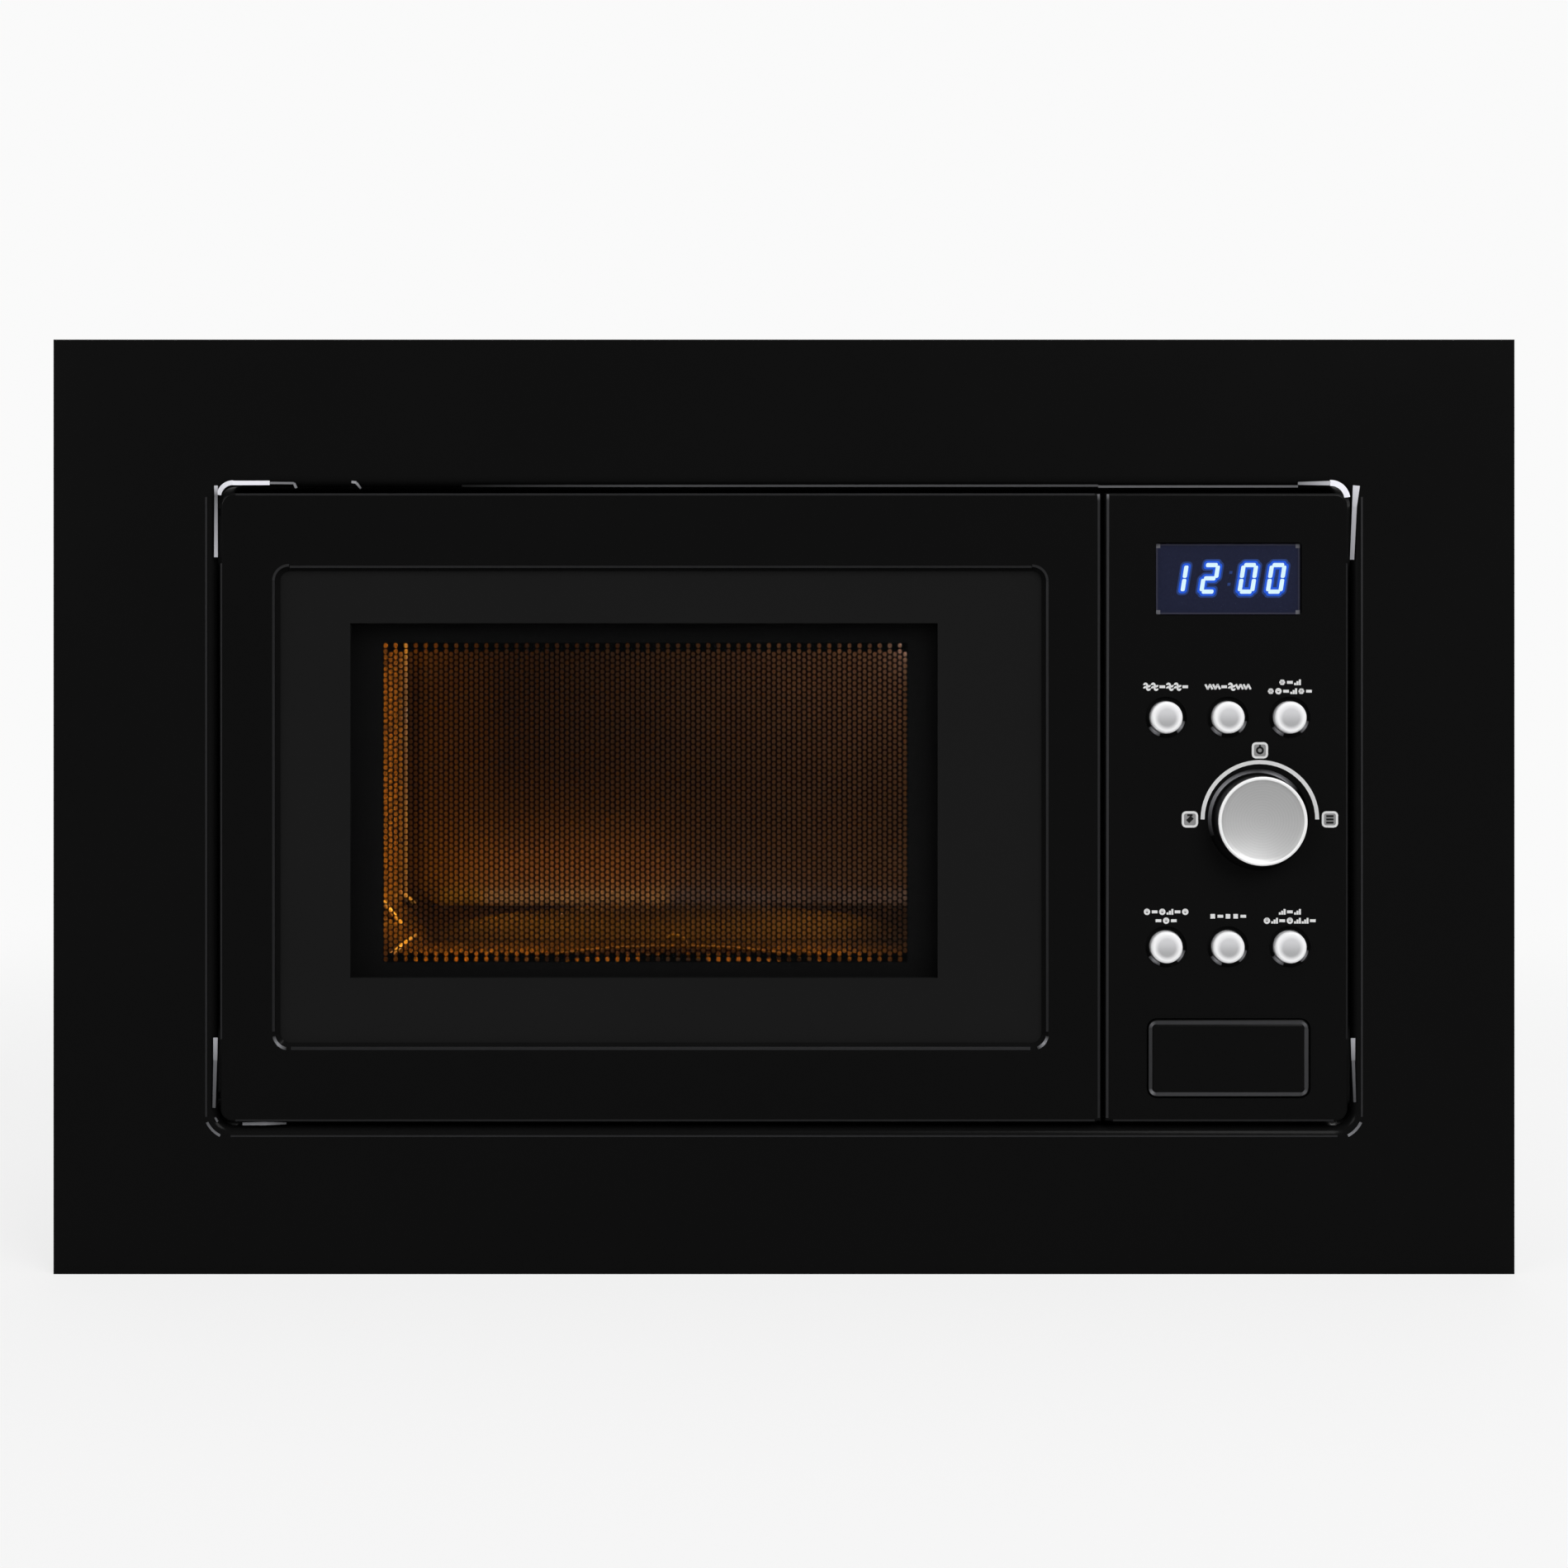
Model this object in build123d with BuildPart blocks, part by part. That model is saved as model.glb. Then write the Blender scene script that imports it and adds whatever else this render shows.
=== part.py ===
from build123d import *
import os
from math import cos, radians, sin, tan

# Built-in microwave oven with grill, in a black trim frame for a kitchen cabinet niche.
# Millimetres. X runs to the right seen from the front, Y to the rear, Z up.
# Y = 0 is the frame's rear edge, which lies against the cabinet front. Z = 0 is the cabinet shelf.
# X = 0 is the middle of the frame.

# Trim frame
frame_w = 594.0
frame_h = 380.0
frame_depth = 22.0
frame_sheet = 1.0
frame_return = 12.0
opening_corner_r = 11.0
lip_roll_r = 4.0
lip_depth = 19.0
frame_lap = 17.0
niche_gap = 1.5

# Fascia, which is the door and the control panel side by side in the frame's opening
fascia_side_gap = 2.25
fascia_top_gap = 2.75
fascia_proud = 2.0
fascia_edge_r = 1.2
fascia_corner_r = 5.0
door_gap = 1.7
panel_w = 98.4
moulding_wall = 2.5

# Oven case
case_side_gap = 0.25
case_top_gap = 0.5
case_sheet = 0.8
case_rear_flange = 12.0
case_front_y = 5.0
base_flange_h = 12.0
base_vent_back = 42.0
base_vent_columns = 2
base_vent_rows = 5
wiring_hole_w = 49.0
wiring_hole_h = 51.0
vent_slot_l = 22.0
vent_slot_w = 3.0
vent_pitch = 7.0
vent_columns = 4
vent_rows = 12
left_vent_columns = 2
left_vent_rows = 8
left_vent_drop = 40.0
side_vent_back = 90.0
left_vent_back = 60.0

# Oven cavity and the window in front of it
cavity_w = 306.0
cavity_h = 205.0
cavity_depth = 300.0
cavity_hinge_margin = 18.75
cavity_latch_margin = 32.65
cavity_floor_rise = 28.0
cavity_roof_gap = 23.0
cavity_rear_gap = 14.2
cavity_foot_rise = 17.0
cavity_foot_in = 9.0
boss_depth = 3.0
boss_margin = 10.0
boss_corner_r = 12.0
track_r = 112.0
track_depth = 3.0
lamp_hole_d = 4.0
lamp_hole_pitch = 6.5
lamp_holes = 6
steam_holes_long = 8
steam_holes_high = 5
steam_hole_back = 60.0
steam_hole_drop = 40.0
window_margin_x = 33.5
window_margin_z = 30.35
screen_lap = 6.0

# Door
door_open_angle = 95.0
bevel_w = 2.4
inner_panel_margin_x = 21.45
inner_panel_margin_z = 29.15
inner_panel_r = 6.5
bezel_lap = 4.0
bezel_t = 2.5
glass_t = 4.0
glass_lap = 11.0
glass_to_screen = 2.4
screen_t = 0.6
choke_margin = 14.0
choke_sheet = 1.0
choke_trough = 30.0
choke_cover_t = 2.0
choke_cover_side = 1.0
choke_cover_hinge_side = 8.0
inner_glass_t = 2.0
door_rest_gap = 1.0
hinge_inset_x = 12.0
hinge_inset_y = 7.5
hinge_pin_d = 5.0
hinge_pin_l = 11.0
hinge_arm_t = 2.0
hinge_arm_w = 8.0
hinge_arm_drop = 6.0
hinge_foot_w = 13.0
hinge_foot_h = 20.0
hinge_foot_shift = 4.0
hinge_boss_h = 13.0
hinge_boss_depth = 9.0
bezel_to_boss = 6.5
bevel_land = 0.3
glass_corner_r = 3.0
choke_flange = 16.5
hook_guide_h = 10.0
hinge_corner_relief = 6.0
running_gap = 0.05
slot_gap = 0.5

# Latch hooks on the door, their catch, and the lever that lifts them
hook_inset = 14.65
hook_t = 6.0
hook_h = 8.0
hook_reach = 21.0
hook_barb = 2.2
hook_barb_l = 7.0
hook_spacing = 184.0
hook_lift = 3.0
hook_bar_t = 4.0
hook_bar_back = 3.0
hook_slot_side = 2.5
catch_gap = 0.4
catch_l = 6.0
catch_h = 6.0
interlock_t = 2.0
interlock_depth = 40.0
interlock_to_hook = 10.0
interlock_foot = 7.0
interlock_edge = 9.0
lever_pin_d = 5.0
lever_hub_d = 10.0
lever_pivot_y = 36.0
lever_drop = 22.0
lever_arm_t = 4.0
lever_input_h = 22.0
lever_input_side = 28.4
lever_input_w = 8.0
lever_output_back = 15.0
lever_gap = 0.8
lever_ear_side = 6.5
switch_w = 10.0
switch_d = 16.0
switch_h = 28.0
plunger_d = 2.6
plunger_l = 2.0
plunger_gap = 1.0

# Door-open button
door_button_w = 65.2
door_button_h = 31.2
door_button_shift = 0.85
door_button_rise = 25.7
door_button_r = 3.5
door_button_gap = 0.6
door_button_proud = 0.8
door_button_wall = 2.0
door_button_depth = 14.0
door_button_travel = 5.0
door_button_bevel = 2.4
door_button_boss_d = 6.0
guide_wall = 1.5
spring_coil_d = 8.0
spring_wire_d = 0.9
spring_pitch = 3.2
spring_side = 11.6
spring_post_l = 6.0
sleeve_l = 13.5

# Push buttons, knob and display
button_d = 12.9
button_gap = 0.3
button_proud = 2.6
button_travel = 1.0
button_dome_r = 1.2
button_flange_d = 16.0
button_flange_t = 1.2
button_stem_d = 5.0
button_ring_w = 1.6
button_ring_depth = 1.2
button_pitch = 25.1
button_shift = 0.55
button_top_rise = 164.0
button_bottom_rise = 70.9
knob_shift = 12.9
knob_rise = 122.6
knob_d = 35.9
knob_proud = 9.0
knob_wall = 2.0
knob_edge_r = 1.2
knob_dish = 0.5
knob_hub_d = 11.0
knob_recess_d = 41.0
knob_recess_depth = 1.2
knob_float = 0.5
knob_front_t = 2.5
knob_rim = 2.4
knob_dish_slope = 60.0
shaft_flat = 1.0
encoder_shaft_seat = 1.0
encoder_shaft_d = 6.0
encoder_bush_d = 9.0
encoder_body = 13.0
encoder_h = 6.5
display_shift = 0.85
display_rise = 220.1
display_w = 59.0
display_h = 29.2
display_rim = 2.5
display_lens_t = 1.5
display_corner_r = 1.5
lens_sink = 0.2
lens_gap = 0.2
display_module_gap = 0.3
board_y = -10.0
board_t = 1.6
board_margin = 5.0
board_bottom_rise = 53.5
board_post_d = 6.0
board_post_inset = 5.0
relay_w = 19.0
relay_l = 16.0
relay_h = 12.0
header_w = 24.0
header_h = 6.0
tact_switch = 6.0
tact_switch_h = 3.4

# Turntable
turntable_r = 122.5
turntable_flat_r = 96.0
turntable_t = 4.0
turntable_rim_rise = 7.0
roller_d = 13.0
roller_w = 6.0
roller_count = 3
roller_track_r = 85.0
roller_pin_d = 3.0
roller_pin_head_d = 5.0
roller_pin_head_t = 1.0
roller_ring_r = 76.0
roller_ring_w = 5.0
roller_ring_h = 4.0
rest_gap = 0.3
coupler_hub_d = 14.0
coupler_lobe_r = 20.0
coupler_lobe_w = 7.0
coupler_shaft_d = 7.0
coupler_shaft_l = 12.0
lug_r = 16.5
lug_d = 5.0
lug_h = 4.0
motor_d = 49.0
motor_h = 15.0
motor_ear_w = 12.0
motor_ear_span = 66.0
motor_ear_t = 1.5

# Grill element, a sheathed tube bent to a U under the ceiling
element_d = 6.5
element_drop = 9.0
element_front_y = 110.0
element_bend_r = 45.0
element_side_gap = 24.0
element_tail = 20.0
element_collar_d = 14.0
element_collar_t = 1.5
element_terminal_d = 3.0
element_terminal_l = 6.0

# Lamp beside the cavity's right wall
lamp_y = 60.0
lamp_rise = 162.0
lamp_bulb_d = 18.0
lamp_bulb_l = 26.0
lamp_gap = 4.0
lamp_base_d = 14.0
lamp_base_l = 12.0
lamp_bracket_t = 1.2
lamp_bracket_w = 26.0
lamp_bracket_reach = 20.0
lamp_foot = 14.0

# Microwave source beside the cavity
port_y = 160.0
port_rise = 142.0
port_l = 80.0
port_h = 46.0
mica_lap = 10.0
mica_t = 0.5
guide_l = 100.0
guide_h = 62.0
guide_depth = 31.0
guide_sheet = 1.0
guide_flange = 8.0
magnetron_y = 182.0
antenna_d = 15.0
antenna_l = 18.0
magnetron_w = 62.0
magnetron_l = 88.0
magnetron_h = 74.0
magnetron_yoke = 2.0
magnetron_fins = 8
magnetron_fin_t = 1.0
anode_d = 38.0
filter_box = 40.0
filter_box_h = 20.0
transformer_y = 130.0
transformer_w = 92.0
transformer_l = 66.0
transformer_h = 76.0
transformer_foot_t = 2.0
coil_overhang = 14.0
coil_h = 22.0
coil_spacing = 28.0
transformer_foot = 6.0
capacitor_side = 23.5
capacitor_y = 66.0
capacitor_w = 50.0
capacitor_l = 30.0
capacitor_h = 88.0
capacitor_tab_h = 9.0
capacitor_tab_t = 0.8
capacitor_tab_w = 6.3
filter_back = 74.0
filter_w = 80.0
filter_depth = 50.0
filter_post_h = 6.0
filter_coil_d = 26.0
filter_coil_h = 14.0
cutout_d = 14.0
cutout_h = 8.0
cutout_ahead = 28.0
cutout_rise = 180.0

# Cooling fan at the rear
fan_rise = 143.0
fan_d = 100.0
fan_tip_gap = 2.0
fan_hub_d = 28.0
fan_blades = 7
fan_blade_t = 1.6
fan_blade_pitch = 32.0
fan_back = 52.0
fan_l = 18.0
shroud_t = 1.5
shroud_h = 150.0
fan_shaft_d = 4.0
fan_motor_w = 44.0
fan_motor_h = 52.0
fan_motor_l = 20.0
fan_motor_gap = 4.0
fan_arm_w = 8.0
fan_blade_w = 24.0
fan_strap_t = 2.0
fan_shaft_seat = 8.0

# Mounting on the cabinet
rail_x = 196.0
rail_w = 26.0
rail_sheet = 1.5
rail_front_y = 14.0
rail_rear_gap = 10.0
bracket_sheet = 1.5
bracket_h = 200.0
bracket_reach = 46.0
bracket_tie_y = 30.0
bracket_lap = 24.0
cabinet_hole_d = 4.5
cabinet_hole_y = 12.0
cabinet_hole_spacing = 160.0
screw_head_d = 8.0
screw_head_h = 2.4
screw_shank_d = 4.0
screw_shank_l = 6.0
screw_inset_z = 24.0
screw_recess_w = 0.9
gland_side = 42.5
gland_rise = 30.0
gland_bore_d = 7.4
gland_body_d = 13.0
gland_flange_d = 18.0
gland_flange_t = 3.0
gland_l = 12.0

# Tolerance for picking a face by its position
face_tolerance = 0.01

# Places worked out from the sizes above
frame_front_y = -frame_depth
frame_inner_y = frame_front_y + frame_sheet
mid_z = frame_h / 2
door_w = cavity_hinge_margin + cavity_w + cavity_latch_margin
case_h = cavity_floor_rise + cavity_h + cavity_roof_gap
fascia_w = door_w + door_gap + panel_w
fascia_h = case_h - 2 * case_top_gap
lip_w = fascia_w + 2 * fascia_side_gap
lip_h = fascia_h + 2 * fascia_top_gap
fascia_y = frame_front_y - fascia_proud
fascia_left = -fascia_w / 2
fascia_right = fascia_w / 2
fascia_bottom = mid_z - fascia_h / 2
fascia_top = mid_z + fascia_h / 2
door_right = fascia_left + door_w
door_x = fascia_left + door_w / 2
panel_left = door_right + door_gap
panel_x = panel_left + panel_w / 2
case_w = fascia_w + 2 * case_side_gap
case_bottom = mid_z - case_h / 2
case_top = mid_z + case_h / 2
case_in_w = case_w - 2 * case_sheet
case_in_h = case_h - 2 * case_sheet
front_plate_rear = case_front_y + case_sheet
cavity_left = fascia_left + cavity_hinge_margin
cavity_right = cavity_left + cavity_w
cavity_x = (cavity_left + cavity_right) / 2
cavity_floor_z = case_bottom + cavity_floor_rise
cavity_top = cavity_floor_z + cavity_h
cavity_mid_z = (cavity_floor_z + cavity_top) / 2
cavity_rear = front_plate_rear + cavity_depth
case_rear_y = cavity_rear + cavity_rear_gap
rear_panel_rear = case_rear_y - case_sheet
rear_panel_front = rear_panel_rear - case_sheet
rail_rear_y = case_rear_y - rail_rear_gap
window_w = cavity_w - 2 * window_margin_x
window_h = cavity_h - 2 * window_margin_z
inner_panel_w = door_w - 2 * inner_panel_margin_x
inner_panel_h = fascia_h - 2 * inner_panel_margin_z
door_rear_y = case_front_y - door_rest_gap
choke_rear_y = door_rear_y - choke_cover_t
hinge_x = fascia_left + hinge_inset_x
hinge_y = fascia_y + hinge_inset_y
inner_wall_y = fascia_y + moulding_wall
glass_front_y = inner_wall_y + bezel_t
screen_y = glass_front_y + glass_t + glass_to_screen
choke_y = screen_y + screen_t
opening_back_w = inner_panel_w - 2 * bevel_w
opening_back_h = inner_panel_h - 2 * bevel_w
hook_x = door_right - hook_inset
hook_lower_z = mid_z - hook_spacing / 2
hook_upper_z = mid_z + hook_spacing / 2
door_button_x = panel_x + door_button_shift
door_button_z = fascia_bottom + door_button_rise
spring_x = door_button_x + spring_side
interlock_x = hook_x - interlock_to_hook
lever_pivot_z = hook_lower_z - lever_drop
lever_input_x = door_button_x - lever_input_side
lever_ear_x = lever_input_x + lever_ear_side
button_mid_x = panel_x + button_shift
button_top_z = fascia_bottom + button_top_rise
button_bottom_z = fascia_bottom + button_bottom_rise
knob_x = panel_x + knob_shift
knob_z = fascia_bottom + knob_rise
display_x = panel_x + display_shift
display_z = fascia_bottom + display_rise
board_bottom_z = fascia_bottom + board_bottom_rise
turntable_y = front_plate_rear + cavity_depth / 2
lamp_z = cavity_floor_z + lamp_rise
port_z = cavity_floor_z + port_rise
compartment_x = (cavity_right + case_sheet + case_in_w / 2) / 2
fan_x = compartment_x
fan_y = case_rear_y - fan_back
fan_z = case_bottom + fan_rise
transformer_x = compartment_x
capacitor_x = compartment_x + capacitor_side
filter_x = compartment_x
filter_y = case_rear_y - filter_back
cutout_y = fan_y - cutout_ahead
cutout_z = cavity_floor_z + cutout_rise
gland_x = compartment_x + gland_side
gland_z = case_bottom + gland_rise
bracket_outer_x = frame_w / 2 - frame_lap - niche_gap
bracket_foot = (bracket_outer_x - lip_w / 2 - lip_roll_r) / 2
screw_hole_d = screw_shank_d + 2 * running_gap
rear_screw_x = case_in_w / 2 - case_rear_flange / 2
rear_screws = [
    (side * rear_screw_x, screw_z)
    for side in (-1, 1)
    for screw_z in (case_bottom + screw_inset_z, case_top - screw_inset_z)
] + [(side * rear_screw_x / 2, case_top - case_sheet - case_rear_flange / 2) for side in (-1, 1)]
base_vent_y = front_plate_rear + base_vent_back
side_screw_y = bracket_tie_y + bracket_lap / 2
side_screw_spacing = bracket_h - 2 * screw_inset_z
hook_tip_y = door_rear_y + hook_reach
hook_bar_y = choke_y + hook_bar_back
hook_slot_h = hook_h + hook_lift + hook_barb + 2 * slot_gap

os.makedirs("parts", exist_ok=True)


def save(piece, name):
    """Label a finished piece and write it under its own name."""
    piece.label = name
    export_step(piece, "parts/" + name + ".step")


def front_plane(y, x=0.0, z=0.0):
    """Sketch plane that faces the front at depth y: its X is the object's X and its Y is Z."""
    return Plane(origin=(x, y, z), x_dir=(1, 0, 0), z_dir=(0, -1, 0))


def side_plane(x, y=0.0, z=0.0):
    """Sketch plane that faces right at x: its X is the object's Y and its Y is Z."""
    return Plane(origin=(x, y, z), x_dir=(0, 1, 0), z_dir=(1, 0, 0))


# Trim frame: a pressed steel sheet with returned edges and a rolled lip round the oven
with BuildPart() as trim_frame:
    with BuildSketch(front_plane(0, 0, mid_z)):
        Rectangle(frame_w, frame_h)
    extrude(amount=frame_depth)
    with BuildSketch(front_plane(0, 0, mid_z)):
        Rectangle(frame_w - 2 * frame_sheet, frame_h - 2 * frame_sheet)
    extrude(amount=frame_depth - frame_sheet, mode=Mode.SUBTRACT)
    with BuildSketch(front_plane(0, 0, mid_z)):
        Rectangle(frame_w, frame_h)
        Rectangle(frame_w - 2 * frame_return, frame_h - 2 * frame_return, mode=Mode.SUBTRACT)
    extrude(amount=frame_sheet)
    with BuildSketch(front_plane(frame_front_y + lip_depth, 0, mid_z)):
        RectangleRounded(
            lip_w + 2 * frame_sheet, lip_h + 2 * frame_sheet, opening_corner_r - lip_roll_r + frame_sheet
        )
    extrude(amount=lip_depth)
    back_corner = (
        trim_frame.faces()
        .filter_by(Axis.Y)
        .filter_by_position(Axis.Y, frame_inner_y - face_tolerance, frame_inner_y + face_tolerance)
        .sort_by(SortBy.AREA)[-1]
    )
    fillet(back_corner.inner_wires()[0].edges(), radius=lip_roll_r - frame_sheet)
    with BuildSketch(front_plane(frame_front_y + lip_depth, 0, mid_z)):
        RectangleRounded(lip_w, lip_h, opening_corner_r - lip_roll_r)
    extrude(amount=lip_depth, mode=Mode.SUBTRACT)
    front_face = trim_frame.faces().filter_by(Axis.Y).sort_by(Axis.Y)[0]
    fillet(front_face.inner_wires()[0].edges(), radius=lip_roll_r)
save(trim_frame.part, "trim_frame")

# Frame brackets: each ties the frame's back to the case side and takes the cabinet screws
bracket_web_y = (frame_inner_y + bracket_reach) / 2
for side, side_name in ((-1, "left"), (1, "right")):
    case_x = case_w / 2
    with BuildPart() as frame_bracket:
        with BuildSketch(Plane.XY.offset(mid_z - bracket_h / 2)):
            with Locations((side * (bracket_outer_x - bracket_foot / 2), frame_inner_y + bracket_sheet / 2)):
                Rectangle(bracket_foot, bracket_sheet)
            with Locations((side * (bracket_outer_x - bracket_sheet / 2), bracket_web_y)):
                Rectangle(bracket_sheet, bracket_reach - frame_inner_y)
            with Locations((side * (bracket_outer_x + case_x) / 2, bracket_tie_y + bracket_sheet / 2)):
                Rectangle(bracket_outer_x - case_x, bracket_sheet)
            with Locations((side * (case_x + bracket_sheet / 2), bracket_tie_y + bracket_lap / 2)):
                Rectangle(bracket_sheet, bracket_lap)
        extrude(amount=bracket_h)
        with BuildSketch(side_plane(side * bracket_outer_x, cabinet_hole_y, mid_z)):
            with GridLocations(0, cabinet_hole_spacing, 1, 2):
                Circle(cabinet_hole_d / 2)
        extrude(amount=bracket_sheet, both=True, mode=Mode.SUBTRACT)
        with BuildSketch(side_plane(side * case_x, side_screw_y, mid_z)):
            with GridLocations(0, side_screw_spacing, 1, 2):
                Circle(screw_hole_d / 2)
        extrude(amount=bracket_sheet, both=True, mode=Mode.SUBTRACT)
    save(frame_bracket.part, "frame_bracket_" + side_name)

# Riser rails: channels that carry the case above the shelf
for side, side_name in ((-1, "left"), (1, "right")):
    with BuildPart() as riser_rail:
        with BuildSketch(Plane.XZ.offset(-rail_front_y)):
            with Locations((side * rail_x, case_bottom / 2)):
                Rectangle(rail_w, case_bottom)
            with Locations((side * (rail_x - rail_sheet), case_bottom / 2)):
                Rectangle(rail_w, case_bottom - 2 * rail_sheet, mode=Mode.SUBTRACT)
        extrude(amount=rail_front_y - rail_rear_y)
    save(riser_rail.part, "riser_rail_" + side_name)

# Front plate of the case, with the cavity mouth, the hook slots and the hinge slots
hinge_arm_top = fascia_top - hinge_arm_drop
hinge_arm_bottom = fascia_bottom + hinge_arm_drop
hinge_arms_z = (hinge_arm_bottom + hinge_arm_t / 2, hinge_arm_top - hinge_arm_t / 2)
with BuildPart() as front_plate:
    with BuildSketch(front_plane(front_plate_rear, 0, mid_z)):
        Rectangle(case_in_w, case_in_h)
    extrude(amount=case_sheet)
    with BuildSketch(front_plane(front_plate_rear, cavity_x, cavity_mid_z)):
        Rectangle(cavity_w, cavity_h)
    extrude(amount=case_sheet, mode=Mode.SUBTRACT)
    with BuildSketch(front_plane(front_plate_rear)):
        for hook_z in (hook_lower_z, hook_upper_z):
            with Locations((hook_x + hook_slot_side / 2, hook_z + (hook_lift - hook_barb) / 2)):
                Rectangle(hook_t + 2 * hook_slot_side, hook_slot_h)
        for arm_z in hinge_arms_z:
            with Locations((hinge_x, arm_z)):
                Rectangle(hinge_arm_w + 2 * slot_gap, hinge_arm_t + 2 * slot_gap)
        with Locations((lever_input_x, lever_pivot_z + lever_input_h)):
            Circle(door_button_boss_d / 2 + slot_gap)
        with Locations((panel_x, mid_z)):
            RectangleRounded(wiring_hole_w, wiring_hole_h, door_button_r)
    extrude(amount=case_sheet, mode=Mode.SUBTRACT)
save(front_plate.part, "front_plate")

# Oven cavity: a steel box welded behind the front plate, with sloped feet along the floor
with BuildPart() as oven_cavity:
    with BuildSketch(front_plane(cavity_rear, cavity_x, cavity_mid_z)):
        Rectangle(cavity_w + 2 * case_sheet, cavity_h + 2 * case_sheet)
    extrude(amount=cavity_depth)
    floor_edges = oven_cavity.faces().sort_by(Axis.Z)[0].edges()
    front_edge = floor_edges.sort_by(Axis.Y)[0]
    foot_wall = oven_cavity.faces().sort_by(Axis.Z)[0]
    chamfer(
        [edge for edge in floor_edges if edge != front_edge],
        length=cavity_foot_in,
        length2=cavity_foot_rise,
        reference=foot_wall,
    )
    offset(
        amount=-case_sheet,
        openings=oven_cavity.faces().filter_by(Axis.Y).sort_by(Axis.Y)[0],
        kind=Kind.INTERSECTION,
    )
    boss_w = cavity_w - 2 * boss_margin
    boss_h = cavity_h - cavity_foot_rise - boss_margin
    boss_z = cavity_floor_z + cavity_foot_rise + boss_h / 2
    with BuildSketch(front_plane(cavity_rear, cavity_x, boss_z)):
        RectangleRounded(boss_w, boss_h, boss_corner_r)
    extrude(amount=boss_depth + case_sheet)
    with BuildSketch(front_plane(cavity_rear, cavity_x, boss_z)):
        RectangleRounded(boss_w - 2 * case_sheet, boss_h - 2 * case_sheet, boss_corner_r - case_sheet)
    extrude(amount=boss_depth, mode=Mode.SUBTRACT)
    with BuildSketch(Plane.XY.offset(cavity_floor_z - track_depth - case_sheet)):
        with Locations((cavity_x, turntable_y)):
            Circle(track_r + case_sheet)
    extrude(amount=track_depth + case_sheet)
    with BuildSketch(Plane.XY.offset(cavity_floor_z - track_depth)):
        with Locations((cavity_x, turntable_y)):
            Circle(track_r)
    extrude(amount=track_depth, mode=Mode.SUBTRACT)
    with BuildSketch(Plane.XY.offset(cavity_floor_z)):
        with Locations((cavity_x, turntable_y)):
            Circle(coupler_shaft_d / 2 + slot_gap)
    extrude(amount=-track_depth - case_sheet, mode=Mode.SUBTRACT)
    with BuildSketch(side_plane(cavity_right)):
        with Locations((port_y, port_z)):
            Rectangle(port_l, port_h)
        with Locations((lamp_y, lamp_z)):
            with GridLocations(lamp_hole_pitch, lamp_hole_pitch, lamp_holes, lamp_holes):
                Circle(lamp_hole_d / 2)
        for leg in (0, 2 * element_bend_r):
            with Locations((element_front_y + leg, cavity_top - element_drop)):
                Circle(element_d / 2 + slot_gap)
    extrude(amount=case_sheet, mode=Mode.SUBTRACT)
    steam_hole_y = cavity_rear - steam_hole_back
    steam_hole_z = cavity_top - steam_hole_drop
    with BuildSketch(side_plane(cavity_left - case_sheet, steam_hole_y, steam_hole_z)):
        with GridLocations(lamp_hole_pitch, lamp_hole_pitch, steam_holes_long, steam_holes_high):
            Circle(lamp_hole_d / 2)
    extrude(amount=case_sheet, mode=Mode.SUBTRACT)
save(oven_cavity.part, "oven_cavity")

# Outer wrap: the folded cover over the top and both sides, turned in at the rear
with BuildPart() as outer_wrap:
    with BuildSketch(Plane.XZ.offset(-case_front_y)):
        with Locations((0, mid_z)):
            Rectangle(case_w, case_h)
        with Locations((0, mid_z - case_sheet)):
            Rectangle(case_in_w, case_h, mode=Mode.SUBTRACT)
    extrude(amount=case_front_y - case_rear_y)
    with BuildSketch(front_plane(case_rear_y, 0, mid_z)):
        Rectangle(case_w, case_h)
        with Locations((0, -case_rear_flange)):
            Rectangle(case_in_w - 2 * case_rear_flange, case_h, mode=Mode.SUBTRACT)
    extrude(amount=case_sheet)
    with BuildSketch(side_plane(case_w / 2 - case_sheet, case_rear_y - side_vent_back, mid_z)):
        with GridLocations(vent_slot_l + vent_pitch, vent_pitch, vent_columns, vent_rows):
            SlotOverall(vent_slot_l, vent_slot_w)
    extrude(amount=case_sheet, mode=Mode.SUBTRACT)
    with BuildSketch(side_plane(-case_w / 2, case_rear_y - left_vent_back, cavity_top - left_vent_drop)):
        with GridLocations(vent_slot_l + vent_pitch, vent_pitch, left_vent_columns, left_vent_rows):
            SlotOverall(vent_slot_l, vent_slot_w)
    extrude(amount=case_sheet, mode=Mode.SUBTRACT)
    with BuildSketch(side_plane(-case_w / 2, side_screw_y, mid_z)):
        with GridLocations(0, side_screw_spacing, 1, 2):
            Circle(screw_hole_d / 2)
    extrude(amount=case_w, mode=Mode.SUBTRACT)
    with BuildSketch(front_plane(case_rear_y)):
        with Locations(*rear_screws):
            Circle(screw_hole_d / 2)
    extrude(amount=case_sheet, mode=Mode.SUBTRACT)
save(outer_wrap.part, "outer_wrap")

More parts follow.
